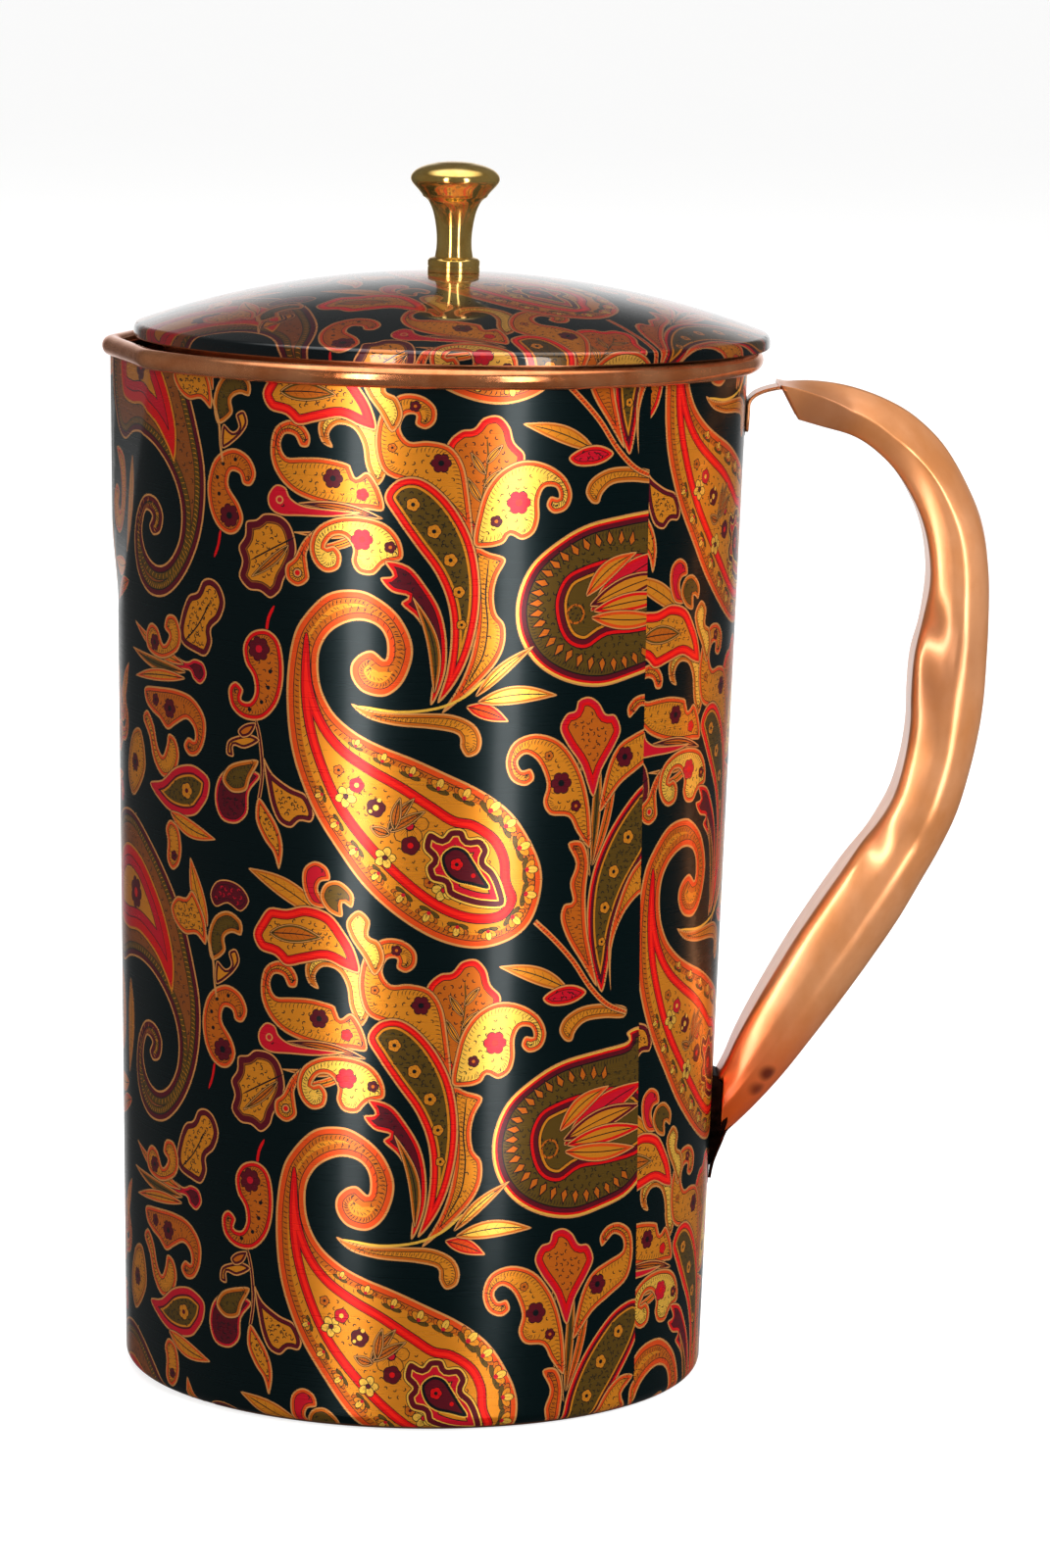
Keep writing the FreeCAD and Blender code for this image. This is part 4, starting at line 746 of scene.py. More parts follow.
# ------------------------------------------------------------------ drawing to mesh
def ink_mesh(name, items, border, lines, step, fmap, fnorm, fzone, inks, keep=None, prefix="ink_"):
    """Cuts the surface along every edge of the drawing and gives each piece the ink on top of it."""
    lo, hi = border.min(0), border.max(0)
    V2, E = [], []

    def add(P, closed=True):
        b = len(V2)
        V2.extend(P.tolist())
        n = len(P)
        E.extend((b + i, b + i + 1) for i in range(n - 1))
        if closed:
            E.append((b + n - 1, b))

    used = []
    for ink, P in items:
        if P[:, 0].max() < lo[0] or P[:, 0].min() > hi[0] or P[:, 1].max() < lo[1] or P[:, 1].min() > hi[1]:
            continue
        used.append((ink, P))
        add(P)
    add(border)
    for ln in lines:
        add(ln, False)
    gx = np.arange(lo[0] + step[0] / 2, hi[0], step[0])
    gy = np.arange(lo[1] + step[1] / 2, hi[1], step[1])
    for j, y in enumerate(gy):
        for x in gx:
            V2.append([x + (step[0] / 2 if j % 2 else 0), y])
    out = delaunay_2d_cdt([Vector(p) for p in V2], E, [], 0, 1e-5, False)
    P2 = np.array([tuple(p) for p in out[0]], float)
    F = np.array([tuple(f) for f in out[2]], int)
    C = P2[F].mean(1)
    ok = inside_big(border, C)
    if keep is not None:
        ok &= keep(C)
    e1 = P2[F[:, 1]] - P2[F[:, 0]]
    e2 = P2[F[:, 2]] - P2[F[:, 0]]
    ar = e1[:, 0] * e2[:, 1] - e1[:, 1] * e2[:, 0]
    ok &= np.abs(ar) > 1e-7
    F, C, ar = F[ok], C[ok], ar[ok]
    F[ar < 0] = F[ar < 0][:, ::-1]
    # shapes are laid down in the order they were printed, so the last one over a point is the one seen
    order = np.argsort(C[:, 1], kind="stable")
    Cy = C[order, 1]
    top = np.full(len(C), inks.index("ground"), int)
    for ink, P in used:
        a, b = np.searchsorted(Cy, [P[:, 1].min(), P[:, 1].max()])
        idx = order[a:b]
        cx = C[idx, 0]
        idx = idx[(cx >= P[:, 0].min()) & (cx <= P[:, 0].max())]
        if len(idx) == 0:
            continue
        for q in range(0, len(idx), 4000):
            sub = idx[q:q + 4000]
            top[sub[inside(P, C[sub])]] = inks.index(ink)
    zone = fzone(C[:, 0], C[:, 1])
    uniq, inv = np.unique(F, return_inverse=True)
    F2 = inv.reshape(F.shape)
    Q2 = P2[uniq]
    zv = fzone(Q2[:, 0], Q2[:, 1])
    co = fmap(Q2[:, 0], Q2[:, 1], zv)
    me = bpy.data.meshes.new(name)
    me.vertices.add(len(co))
    me.vertices.foreach_set("co", (co * MM).astype(np.float32).ravel())
    nf = len(F2)
    me.loops.add(nf * 3)
    me.loops.foreach_set("vertex_index", F2.astype(np.int32).ravel())
    me.polygons.add(nf)
    me.polygons.foreach_set("loop_start", np.arange(0, nf * 3, 3, dtype=np.int32))
    me.polygons.foreach_set("material_index", top.astype(np.int32))
    me.update(calc_edges=True)
    me.validate(clean_customdata=False)
    me.polygons.foreach_set("use_smooth", np.ones(len(me.polygons), bool))
    L = np.zeros(len(me.loops), np.int32)
    me.loops.foreach_get("vertex_index", L)
    if len(L) == nf * 3:
        zl = np.repeat(zone, 3)
        N = fnorm(Q2[L, 0], Q2[L, 1], zl)
        me.normals_split_custom_set(N.tolist())
    ob = bpy.data.objects.new(name, me)
    SCN.collection.objects.link(ob)
    for k in inks:
        me.materials.append(MAT[prefix + k])
    return ob


def inside_big(P, X, chunk=20000):
    out = np.zeros(len(X), bool)
    for i in range(0, len(X), chunk):
        out[i:i + chunk] = inside(P, X[i:i + chunk])
    return out


def seam_s(v):
    return np.interp(v, [0, 12, 101, 174, 198], [49.2, 48.9, 45.0, 43.0, 42.4])


def grid_obj(name, P, mat, closed_u=False, closed_v=False, smooth=True, flip=False):
    """Mesh from a grid of points P[i][j] in mm."""
    P = np.asarray(P, float)
    a, b = P.shape[:2]
    verts = (P.reshape(-1, 3) * MM).tolist()
    faces = []
    for i in range(a if closed_u else a - 1):
        for j in range(b if closed_v else b - 1):
            f = (i * b + j, ((i + 1) % a) * b + j, ((i + 1) % a) * b + (j + 1) % b, i * b + (j + 1) % b)
            faces.append(f[::-1] if flip else f)
    me = bpy.data.meshes.new(name)
    me.from_pydata(verts, [], faces)
    for p in me.polygons:
        p.use_smooth = smooth
    ob = bpy.data.objects.new(name, me)
    SCN.collection.objects.link(ob)
    me.materials.append(mat)
    return ob


# ------------------------------------------------------------------ materials
def lin(h):
    c = [int(h[i:i + 2], 16) / 255.0 for i in (1, 3, 5)]
    return tuple((x / 12.92 if x <= 0.04045 else ((x + 0.055) / 1.055) ** 2.4) for x in c) + (1.0,)


def base_mat(name, color, metallic, rough, coat=0.0, coat_rough=0.05, ior=1.5, aniso=0.0):
    m = bpy.data.materials.new(name)
    m.use_nodes = True
    nt = m.node_tree
    b = nt.nodes["Principled BSDF"]
    b.inputs["Base Color"].default_value = lin(color)
    b.inputs["Metallic"].default_value = metallic
    b.inputs["Roughness"].default_value = rough
    b.inputs["IOR"].default_value = ior
    b.inputs["Coat Weight"].default_value = coat
    b.inputs["Coat Roughness"].default_value = coat_rough
    b.inputs["Anisotropic"].default_value = aniso
    return m, nt, b


def streaks(nt, scale, detail=3.0, rough=0.55):
    """Noise stretched by a different amount along each axis of the object."""
    tc = nt.nodes.new("ShaderNodeTexCoord")
    mp = nt.nodes.new("ShaderNodeMapping")
    mp.inputs["Scale"].default_value = scale
    nz = nt.nodes.new("ShaderNodeTexNoise")
    nz.inputs["Scale"].default_value = 1.0
    nz.inputs["Detail"].default_value = detail
    nz.inputs["Roughness"].default_value = rough
    nt.links.new(tc.outputs["Object"], mp.inputs["Vector"])
    nt.links.new(mp.outputs["Vector"], nz.inputs["Vector"])
    return nz.outputs["Fac"]


def to_range(nt, sock, lo, hi, a=0.3, b=0.7):
    r = nt.nodes.new("ShaderNodeMapRange")
    r.inputs["From Min"].default_value = a
    r.inputs["From Max"].default_value = b
    r.inputs["To Min"].default_value = lo
    r.inputs["To Max"].default_value = hi
    nt.links.new(sock, r.inputs["Value"])
    return r.outputs["Result"]


def add_bump(nt, b, sock, strength, dist, into="Normal", prev=None):
    bp = nt.nodes.new("ShaderNodeBump")
    bp.inputs["Strength"].default_value = strength
    bp.inputs["Distance"].default_value = dist
    nt.links.new(sock, bp.inputs["Height"])
    if prev is not None:
        nt.links.new(prev, bp.inputs["Normal"])
    if into:
        nt.links.new(bp.outputs["Normal"], b.inputs[into])
    return bp.outputs["Normal"]


MAT = {}
INKS = ["ground", "dark", "gold", "goldL", "amber", "amberD", "orange", "red", "redL", "maroon", "crimson", "olive", "line"]
INK_COL = {"ground": ("#021416", 0.78), "dark": ("#050a0d", 0.50), "gold": ("#e58b22", 0.80), "goldL": ("#f8bd48", 0.80), "amber": ("#cc6618", 0.78),
           "amberD": ("#8c4a1c", 0.72), "orange": ("#e44c16", 0.76), "red": ("#cc080c", 0.68), "redL": ("#ee1c0e", 0.68), "maroon": ("#500714", 0.60),
           "crimson": ("#bd0c22", 0.68), "olive": ("#5f4617", 0.76), "line": ("#dc9450", 0.78)}


def ink(name, key, grain, coat, coat_rough, streak_bump, shade_tone=1.0):
    """Printed ink over brushed sheet, under clear lacquer."""
    col, met = INK_COL[key]
    m, nt, b = base_mat(name, col, met, 0.30, coat=coat, coat_rough=coat_rough)
    # the ink colour can be darkened here as painted shade (used for the lid's copy of the inks)
    c = b.inputs["Base Color"].default_value
    b.inputs["Base Color"].default_value = (c[0] * shade_tone, c[1] * shade_tone ** 1.3, c[2] * shade_tone, 1.0)
    g = streaks(nt, grain, 3.0, 0.6)
    nt.links.new(to_range(nt, g, 0.265, 0.305), b.inputs["Roughness"])
    add_bump(nt, b, g, streak_bump, 0.00006)
    g2 = streaks(nt, (38.0, 38.0, 60.0), 2.0)
    n = add_bump(nt, b, g2, 0.25, 0.00020, into=None)
    add_bump(nt, b, g, streak_bump * 0.35, 0.00004, into="Coat Normal", prev=n)
    return m


for k in INKS:
    MAT["ink_" + k] = ink("ink_" + k, k, (40.0, 40.0, 2600.0), 0.30, 0.14, 0.05)
    # the lid was spun and buffed: a finer, weaker grain and a glossier coat; its ink colours are darkened to 0.62 as
    # painted shade
    MAT["lid_" + k] = ink("lid_" + k, k, (420.0, 420.0, 420.0), 1.0, 0.035, 0.08, shade_tone=0.62)


def metal(name, col, r0, r1, scale, bump, dist, coat=0.0, wave=None, patina=None, met=1.0):
    m, nt, b = base_mat(name, col, met, r0, coat=coat)
    g = streaks(nt, scale, 4.0, 0.6)
    nt.links.new(to_range(nt, g, r0, r1), b.inputs["Roughness"])
    n = add_bump(nt, b, g, bump, dist, into=None if wave else "Normal")
    if wave:
        w = streaks(nt, wave[0], 2.0)
        add_bump(nt, b, w, wave[1], wave[2], prev=n)
    if patina:
        p = streaks(nt, patina[0], 5.0, 0.6)
        cr = nt.nodes.new("ShaderNodeValToRGB")
        e = cr.color_ramp.elements
        e[0].position, e[0].color = patina[1], lin(patina[2])
        e[1].position, e[1].color = patina[3], lin(col)
        nt.links.new(p, cr.inputs["Fac"])
        nt.links.new(cr.outputs["Color"], b.inputs["Base Color"])
    MAT[name] = m
    return m


metal("rim_copper", "#ee9e6c", 0.09, 0.20, (900.0, 900.0, 900.0), 0.06, 0.00004, wave=((70.0, 70.0, 70.0), 0.30, 0.0002), patina=((160.0, 160.0, 160.0), 0.34, "#d87c48", 0.62), met=0.92)
metal("knob_brass", "#e8c676", 0.06, 0.13, (300.0, 300.0, 2600.0), 0.08, 0.00003, wave=((120.0, 120.0, 500.0), 0.12, 0.0001), patina=((240.0, 240.0, 240.0), 0.30, "#d4a54c", 0.62), met=0.94)
metal("inside_copper", "#cf8458", 0.22, 0.42, (60.0, 60.0, 3000.0), 0.3, 0.00006, patina=((60.0, 60.0, 60.0), 0.30, "#a85f3c", 0.66))
# near-black braze: dark oxidised braze with flux, darkened further as painted shade where the handle's ends meet the
# wall
metal("braze_dark_and_shade", "#2a1712", 0.45, 0.75, (700.0, 700.0, 700.0), 0.8, 0.0003, patina=((300.0, 300.0, 300.0), 0.35, "#0b0706", 0.6))
metal("solder_grey", "#a7a39c", 0.30, 0.55, (500.0, 500.0, 500.0), 0.5, 0.0002)
metal("steel_screw", "#b8bbc0", 0.18, 0.34, (400.0, 400.0, 3000.0), 0.2, 0.00005)
metal("wire_copper", "#c07a4e", 0.25, 0.45, (500.0, 500.0, 500.0), 0.3, 0.0001)


def handle_metal(name, col, patina, red, painted_shade_mark):
    """Satin copper, redder where the lower end was heated, with dark patches: painted shade in the pressed flats and
    under the top fold, and at the lower end by the wall painted shade together with flux residue.
    """
    m, nt, b = base_mat(name, col, 0.78, 0.30, coat=0.55, coat_rough=0.17)
    g = streaks(nt, (420.0, 420.0, 120.0), 3.0, 0.55)
    fine = streaks(nt, (2600.0, 2600.0, 2600.0), 2.0, 0.5)
    nt.links.new(to_range(nt, g, 0.28, 0.33), b.inputs["Roughness"])
    n = add_bump(nt, b, fine, 0.03, 0.00002, into=None)
    w = streaks(nt, (60.0, 60.0, 45.0), 2.0)
    add_bump(nt, b, w, 0.25, 0.00030, prev=n)
    p = streaks(nt, (110.0, 110.0, 80.0), 4.0, 0.55)
    cr = nt.nodes.new("ShaderNodeValToRGB")
    e = cr.color_ramp.elements
    e[0].position, e[0].color = 0.32, lin(patina)
    e[1].position, e[1].color = 0.66, lin(col)
    nt.links.new(p, cr.inputs["Fac"])
    last = cr.outputs["Color"]
    tc = nt.nodes.new("ShaderNodeTexCoord")
    sep = nt.nodes.new("ShaderNodeSeparateXYZ")
    nt.links.new(tc.outputs["Object"], sep.inputs["Vector"])

    def over(fac, color):
        nonlocal last
        mx = nt.nodes.new("ShaderNodeMix")
        mx.data_type = "RGBA"
        nt.links.new(fac, mx.inputs["Factor"])
        nt.links.new(last, mx.inputs["A"])
        mx.inputs["B"].default_value = lin(color)
        last = mx.outputs["Result"]

    low = nt.nodes.new("ShaderNodeMapRange")
    low.interpolation_type = "SMOOTHSTEP"
    for key, v in (("From Min", 0.079), ("From Max", 0.047), ("To Min", 0.0), ("To Max", 1.0)):
        low.inputs[key].default_value = v
    nt.links.new(sep.outputs["Z"], low.inputs["Value"])
    over(low.outputs["Result"], red)
    # dark patches of painted shade: at the lower end by the wall (with flux residue there), in the pressed flat of the
    # grip and under the fold near the top
    for c, r, k in (((0.0672, -0.0065, 0.0590), 0.0017, 0.85), ((0.0650, -0.0055, 0.0560), 0.0017, 0.8), ((0.0602, 0.0, 0.0385), 0.0060, 0.75), ((0.0965, -0.0085, 0.1400), 0.0090, 0.30), ((0.0935, -0.0070, 0.1300), 0.0080, 0.26), ((0.0745, -0.0070, 0.1860), 0.0065, 0.34)):
        d = nt.nodes.new("ShaderNodeVectorMath")
        d.operation = "DISTANCE"
        nt.links.new(tc.outputs["Object"], d.inputs[0])
        d.inputs[1].default_value = c
        f = nt.nodes.new("ShaderNodeMapRange")
        f.interpolation_type = "SMOOTHSTEP"
        for key, v in (("From Min", 0.4 * r), ("From Max", 1.4 * r), ("To Min", k), ("To Max", 0.0)):
            f.inputs[key].default_value = v
        nt.links.new(d.outputs["Value"], f.inputs["Value"])
        over(f.outputs["Result"], painted_shade_mark)
    nt.links.new(last, b.inputs["Base Color"])
    MAT[name] = m


# the last colour is the painted shade of the dark patches
handle_metal("handle_copper", "#fbae78", "#ee9a5c", "#f4601a", "#5a1010")
# lower tongue: dark heat colour, deepened as painted shade of the gap between the tube's end and the wall
metal("tongue_heated_and_shaded", "#7c3a22", 0.30, 0.55, (700.0, 700.0, 700.0), 0.3, 0.0001, patina=((260.0, 260.0, 260.0), 0.35, "#3a1410", 0.62))


# ------------------------------------------------------------------ the print on the wall
rng = random.Random(7)
TILE = Art()
for fn in (left_side, filler, buds, round_c, spray_2, paisley_a, spray_1):
    TILE.put(fn(rng), rot(0), (0, 0))
PERIOD = 145.0
HALF_TURN = math.pi * RS


def sheet_items(x0, x1, dx, dy):
    A = Art()
    for k in range(-3, 4):
        for j in range(-3, 4):
            b = (dx + k * PERIOD + j * 1.7, dy + j * 100.0)
            for ink, P in TILE.items:
                Q = P + np.array(b)
                if Q[:, 0].max() < x0 or Q[:, 0].min() > x1 or Q[:, 1].max() < -1 or Q[:, 1].min() > 197:
                    continue
                A.items.append((ink, Q))
    return A.items


V_LOW, V_HIGH = 0.52, 194.95
vs = np.linspace(V_LOW, V_HIGH, 60)
crease_v = LIP_LOW + 0.3 + (V_HIGH - LIP_LOW - 0.3) * np.linspace(0, 1, 60) ** 2
LINES = [np.stack([-math.pi * RS / 2 + sg * RS * lip_angle(crease_v), crease_v], 1) for sg in (1, -1)]
LINES.append(np.stack([np.full(30, -math.pi * RS / 2), np.linspace(LIP_LOW + 0.3, V_HIGH, 30)], 1))
LINES += [np.stack([np.linspace(-200, 200, 161), np.full(161, z)], 1) for z in (1.0, 1.6, 2.5, 3.4)]
SHEETS = ((0.0, (0.0, 0.0)), (HALF_TURN, (72.0, 55.0)))
for i, (off, (dx, dy)) in enumerate(SHEETS):
    cols = [np.stack([seam_s(vs) + off - HALF_TURN * q / 4, vs], 1) for q in range(5)]
    for j in range(4):
        a, c = cols[j + 1], cols[j]
        n = 40
        low = np.stack([np.linspace(a[0, 0], c[0, 0], n)[1:-1], np.full(n - 2, V_LOW)], 1)
        high = np.stack([np.linspace(c[-1, 0], a[-1, 0], n)[1:-1], np.full(n - 2, V_HIGH)], 1)
        border = np.vstack([a[::-1][-1:], low, c, high, a[::-1][:-1]])
        border = ccw(border)
        items = sheet_items(border[:, 0].min(), border[:, 0].max(), dx, dy)
        ob = ink_mesh("body_print_%d" % (4 * i + j + 1), items, border, LINES, (2.4, 4.0), wall_map, wall_normals, wall_zone, INKS)
        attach(ob, "jug")
        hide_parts("body_print_wrap")
        print("PRINT", ob.name, len(ob.data.polygons))

# ------------------------------------------------------------------ the print on the lid
ring = np.linspace(0, 2 * math.pi, 240, endpoint=False)
A = Art()
for k in range(-2, 3):
    for j in range(-3, 3):
        A.put(TILE, rot(-8), (-6.0 + k * PERIOD, -128.0 + j * 100.0))
lid_lines = [np.vstack([np.stack([t * np.cos(ring), t * np.sin(ring)], 1), [[t, 0.0]]]) for t in (L1, L2 + 0.02, (L2 + L3) / 2, L3, L4 - 0.5)]
hole = lambda C: np.hypot(C[:, 0], C[:, 1]) > 2.2
for i, a0 in enumerate((0.0, math.pi)):
    arc = np.linspace(a0, a0 + math.pi, 121)
    across = np.linspace(-1, 1, 31)[1:-1] * math.cos(a0)
    border = np.vstack([np.stack([L4 * np.cos(arc), L4 * np.sin(arc)], 1), np.stack([across * L4, 0 * across], 1)])
    ob = ink_mesh("lid_print_%d" % (i + 1), A.items, ccw(border), lid_lines, (2.4, 2.4), lid_map, lid_normals, lambda p, q: np.zeros(len(p), int), INKS, keep=hole, prefix="lid_")
    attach(ob, "lid")
    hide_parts("lid_print_film")
    print("PRINT", ob.name, len(ob.data.polygons))

# ------------------------------------------------------------------ rolled rim
rr = float(cone_r(Z_BEAD)) + BEAD_OFF
nA, nF, nC = 220, 26, 40
path = []
for t in np.linspace(-(math.pi - LIP_HALF), math.pi - LIP_HALF, nA):
    path.append((rr * math.cos(t), rr * math.sin(t)))
end = np.array(path[-1]); tip = np.array([-rr, 0.0])
cr2 = 3.2       # the flanks meet the arc in a short bend
flank = [end + (tip - end) * f for f in np.linspace(0, 1, nF)[1:-1]]
path += [tuple(p) for p in flank] + [tuple(tip)] + [(p[0], -p[1]) for p in reversed(flank)]
path = np.array(path)
for _ in range(3):       # soften the two bends and the tip a little
    path = 0.5 * path + 0.25 * (np.roll(path, 1, 0) + np.roll(path, -1, 0))
tg = np.roll(path, -1, 0) - np.roll(path, 1, 0)
tg /= np.linalg.norm(tg, axis=1, keepdims=True)
nx = np.stack([tg[:, 1], -tg[:, 0]], 1)
G = []
for i in range(len(path)):
    row = []
    for c in np.linspace(0, 2 * math.pi, nC, endpoint=False):
        # a rolled bead is a little flattened where it was closed against the wall
        w = BEAD_R * (1 - 0.05 * max(0.0, math.cos(c - math.radians(215))) ** 2)
        row.append((path[i, 0] + nx[i, 0] * w * math.cos(c), path[i, 1] + nx[i, 1] * w * math.cos(c), Z_BEAD + w * math.sin(c)))
    G.append(row)
rim = grid_obj("rim_roll", G, MAT["rim_copper"], True, True)
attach(rim, "jug"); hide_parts("rim_bead")


# ------------------------------------------------------------------ handle
ST = [
    (66.0, 192.0, 69.7, 185.2, 14.5), (72.5, 192.3, 74.2, 184.0, 15.4), (79.5, 191.4, 79.8, 182.5, 16.0), (86.5, 189.1, 84.0, 180.1, 16.4),
    (92.5, 185.7, 88.1, 176.3, 16.8), (98.2, 180.2, 91.2, 171.9, 17.0), (102.9, 172.5, 93.7, 166.8, 17.2), (106.0, 165.0, 95.2, 161.2, 17.2),
    (107.4, 156.0, 95.7, 154.8, 17.2), (107.7, 147.0, 94.7, 147.4, 17.2), (107.6, 139.5, 93.2, 140.3, 17.2), (107.3, 132.0, 92.8, 133.4, 17.2),
    (106.5, 125.2, 92.8, 127.2, 17.2), (105.0, 117.7, 92.0, 120.6, 17.4), (102.8, 109.6, 90.2, 113.7, 17.6), (99.6, 102.3, 87.2, 108.0, 17.8),
    (96.2, 95.9, 83.6, 103.0, 18.0), (92.4, 88.9, 80.2, 98.0, 18.2), (87.6, 81.3, 76.2, 91.9, 18.2), (82.2, 73.3, 71.8, 84.9, 18.0),
    (76.5, 65.3, 67.6, 77.5, 17.2), (70.8, 57.6, 63.9, 70.6, 16.0), (65.6, 51.5, 61.2, 65.0, 14.4), (60.8, 46.6, 59.4, 60.6, 12.6),
    (56.6, 42.9, 57.4, 56.6, 11.4)]
PROF = [(0.0, 0.36), (0.03, 0.425), (0.12, 0.468), (0.34, 0.497), (0.55, 0.50), (0.74, 0.445), (0.89, 0.30), (0.975, 0.15), (1.0, 0.0)]
stn = spl(ST, False, 8)
prof = spl(PROF, False, 5)
prof[:, 1] = np.clip(prof[:, 1], 0, 0.5)
strip_side = np.stack([np.zeros(9), np.linspace(-0.36, 0.36, 9)[::1]], 1)
half = prof
loop = np.vstack([np.stack([half[:, 0], half[:, 1]], 1), np.stack([half[::-1][1:, 0], -half[::-1][1:, 1]], 1), np.stack([np.zeros(7), np.linspace(-0.36, 0.36, 9)[1:-1]], 1)])


def fold(c):
    """Section near the top end: straight sides up to an edge at the depth share c, and a roof above it."""
    d = 1.0 - c
    p = spl([(0.0, 0.36), (0.03, 0.39), (0.25 * c, 0.425), (0.62 * c, 0.468), (0.93 * c, 0.496), (c, 0.50), (c + 0.12 * d, 0.47), (c + 0.6 * d, 0.24), (1.0, 0.0)], False, 5)
    p[:, 1] = np.clip(p[:, 1], 0, 0.5)
    return np.vstack([p, np.stack([p[::-1][1:, 0], -p[::-1][1:, 1]], 1), np.stack([np.zeros(7), np.linspace(-0.36, 0.36, 9)[1:-1]], 1)])


def hpoint(st, sh):
    ox, oz, ix, iz, w = st
    o, i = np.array([ox, 0.0, oz]), np.array([ix, 0.0, iz])
    d = o - i
    return i + d * sh[0] + np.array([0.0, sh[1] * w, 0.0])


def dent(p, c, r, depth, axis):
    q = (p - np.array(c)) / np.array(r)
    f = math.exp(-float(q @ q))
    return p + np.array(axis) * depth * f


rows = []
for k, st in enumerate(stn):
    row = []
    # the top end is folded; the edge runs down the side and fades into the round back of the grip
    q = min(1.0, max(0.0, (k - 28.0) / 36.0))
    q = q * q * (3 - 2 * q)
    for sh in loop * q + fold(float(np.interp(k, [0, 8, 16, 28, 44], [0.97, 0.74, 0.52, 0.44, 0.50]))) * (1 - q):
        p = hpoint(st, sh)
        # flats pressed by the forming tool, and the creases next to them
        p = dent(p, (97.5, -8.6, 141.0), (5.0, 3.0, 7.0), 0.9, (0, 1, 0))
        p = dent(p, (93.4, -6.8, 104.5), (4.5, 3.2, 4.5), 0.8, (0.1, 1, 0))
        p = dent(p, (97.5, 8.6, 141.0), (5.0, 3.0, 7.0), 0.9, (0, -1, 0))
        p = dent(p, (93.4, 6.8, 104.5), (4.5, 3.2, 4.5), 0.8, (0.1, -1, 0))
        p = dent(p, (95.0, -7.4, 121.0), (4.2, 2.6, 4.5), 0.35, (0, 1, 0))
        for sg in (-1, 1):
            p = dent(p, (94.5, sg * 6.6, 147.0), (3.6, 3.0, 5.0), 1.9, (0, -sg, 0))
            p = dent(p, (85.5, sg * 6.8, 104.0), (3.8, 3.0, 4.6), 1.9, (0, -sg, 0))
        row.append(np.array([min(p[0], 107.69), p[1], p[2]]))
    rows.append(row)
rows = np.array(rows)
LOW_GAP, BRAZE_T, SHEET_H = 2.2, 0.12, 0.8


def keep_off(p, z_split=57.3):
    """Pushes a point out of the wall: the lower end of the tube stops short of it."""
    r = math.hypot(p[0], p[1])
    lim = float(cone_r(p[2])) + (LOW_GAP if p[2] < z_split else BRAZE_T)
    if r < lim and p[2] < 70:
        k = lim / r
        return np.array([p[0] * k, p[1] * k, p[2]])
    return p


out_rows = np.array([[keep_off(p) for p in r] for r in rows])
cen = rows.mean(1, keepdims=True)
nl = len(loop)
inn = []
for i in range(len(rows)):
    R0 = rows[i]
    t1 = np.roll(R0, -1, 0) - np.roll(R0, 1, 0)
    ax = rows[min(i + 1, len(rows) - 1)].mean(0) - rows[max(i - 1, 0)].mean(0)
    n = np.cross(t1, ax)
    n /= np.maximum(np.linalg.norm(n, axis=1, keepdims=True), 1e-9)
    s = np.sign(np.sum(n * (cen[i] - R0), 1, keepdims=True))
    inn.append(R0 + n * s * SHEET_H)
inn = np.array([[keep_off(p) for p in r] for r in inn])
G = np.concatenate([out_rows, inn[::-1]], 0)
hd = grid_obj("handle_tube", G, MAT["handle_copper"], True, True)


def join_into(name, obs):
    bm = bmesh.new()
    for o in obs:
        bm.from_mesh(o.data)
    me = bpy.data.meshes.new(name)
    bmesh.ops.recalc_face_normals(bm, faces=bm.faces)
    bm.to_mesh(me)
    bm.free()
    m = obs[0].data.materials[0]
    for o in obs:
        bpy.data.objects.remove(o)
    ob = bpy.data.objects.new(name, me)
    SCN.collection.objects.link(ob)
    me.materials.append(m)
    for p in me.polygons:
        p.use_smooth = True
    return ob


def ribbon(name, line, half, th, mat, up):
    """Strip of sheet: centre line in X-Z, half width at each point, thickness th towards up."""
    line = np.asarray(line, float)
    d = np.gradient(line, axis=0)
    d /= np.linalg.norm(d, axis=1, keepdims=True)
    n = np.stack([-d[:, 1], d[:, 0]], 1) * up
    G = []
    for i in range(len(line)):
        h = half[i]
        row = []
        for f in (-1, -0.9, -0.6, 0, 0.6, 0.9, 1):
            row.append((line[i, 0], f * h, line[i, 1]))
        for f in (1, 0.9, 0.6, 0, -0.6, -0.9, -1):
            row.append((line[i, 0] + n[i, 0] * th, f * h, line[i, 1] + n[i, 1] * th))
        G.append(row)
    return G


def capped(name, G, mat):
    ob = grid_obj(name, G, mat, False, True)
    bm = bmesh.new(); bm.from_mesh(ob.data)
    bm.verts.ensure_lookup_table()
    b = len(G[0])
    m = len(G)
    bm.faces.new([bm.verts[i] for i in range(b)][::-1])
    bm.faces.new([bm.verts[(m - 1) * b + i] for i in range(b)])
    bmesh.ops.recalc_face_normals(bm, faces=bm.faces)
    bm.to_mesh(ob.data); bm.free()
    return ob


# upper tongue: along the top, over a bend and down the wall
tw = float(cone_r(186)) + BRAZE_T
line = spl([(69.8, 191.2), (67.2, 191.45), (64.8, 191.05), (62.6, 190.35), (61.0, 189.4), (tw + 0.16, 188.0), (tw + 0.04, 186.0), (float(cone_r(184)) + BRAZE_T, 184.0), (float(cone_r(182.3)) + BRAZE_T, 182.3)], False, 5)
hw = np.interp(np.linspace(0, 1, len(line)), [0, 0.3, 0.55, 0.85, 0.95, 1.0], [4.4, 3.6, 3.4, 3.4, 2.6, 1.2])
t_up = capped("handle_tongue_upper", ribbon("t", line[::-1], hw[::-1], 0.62, None, -1), MAT["handle_copper"])
line = spl([(61.6, 49.2), (60.55, 47.9), (59.55, 46.6), (58.8, 44.6), (58.0, 42.4), (57.35, 40.3), (57.0, 38.4), (56.8, 36.6)], False, 5)
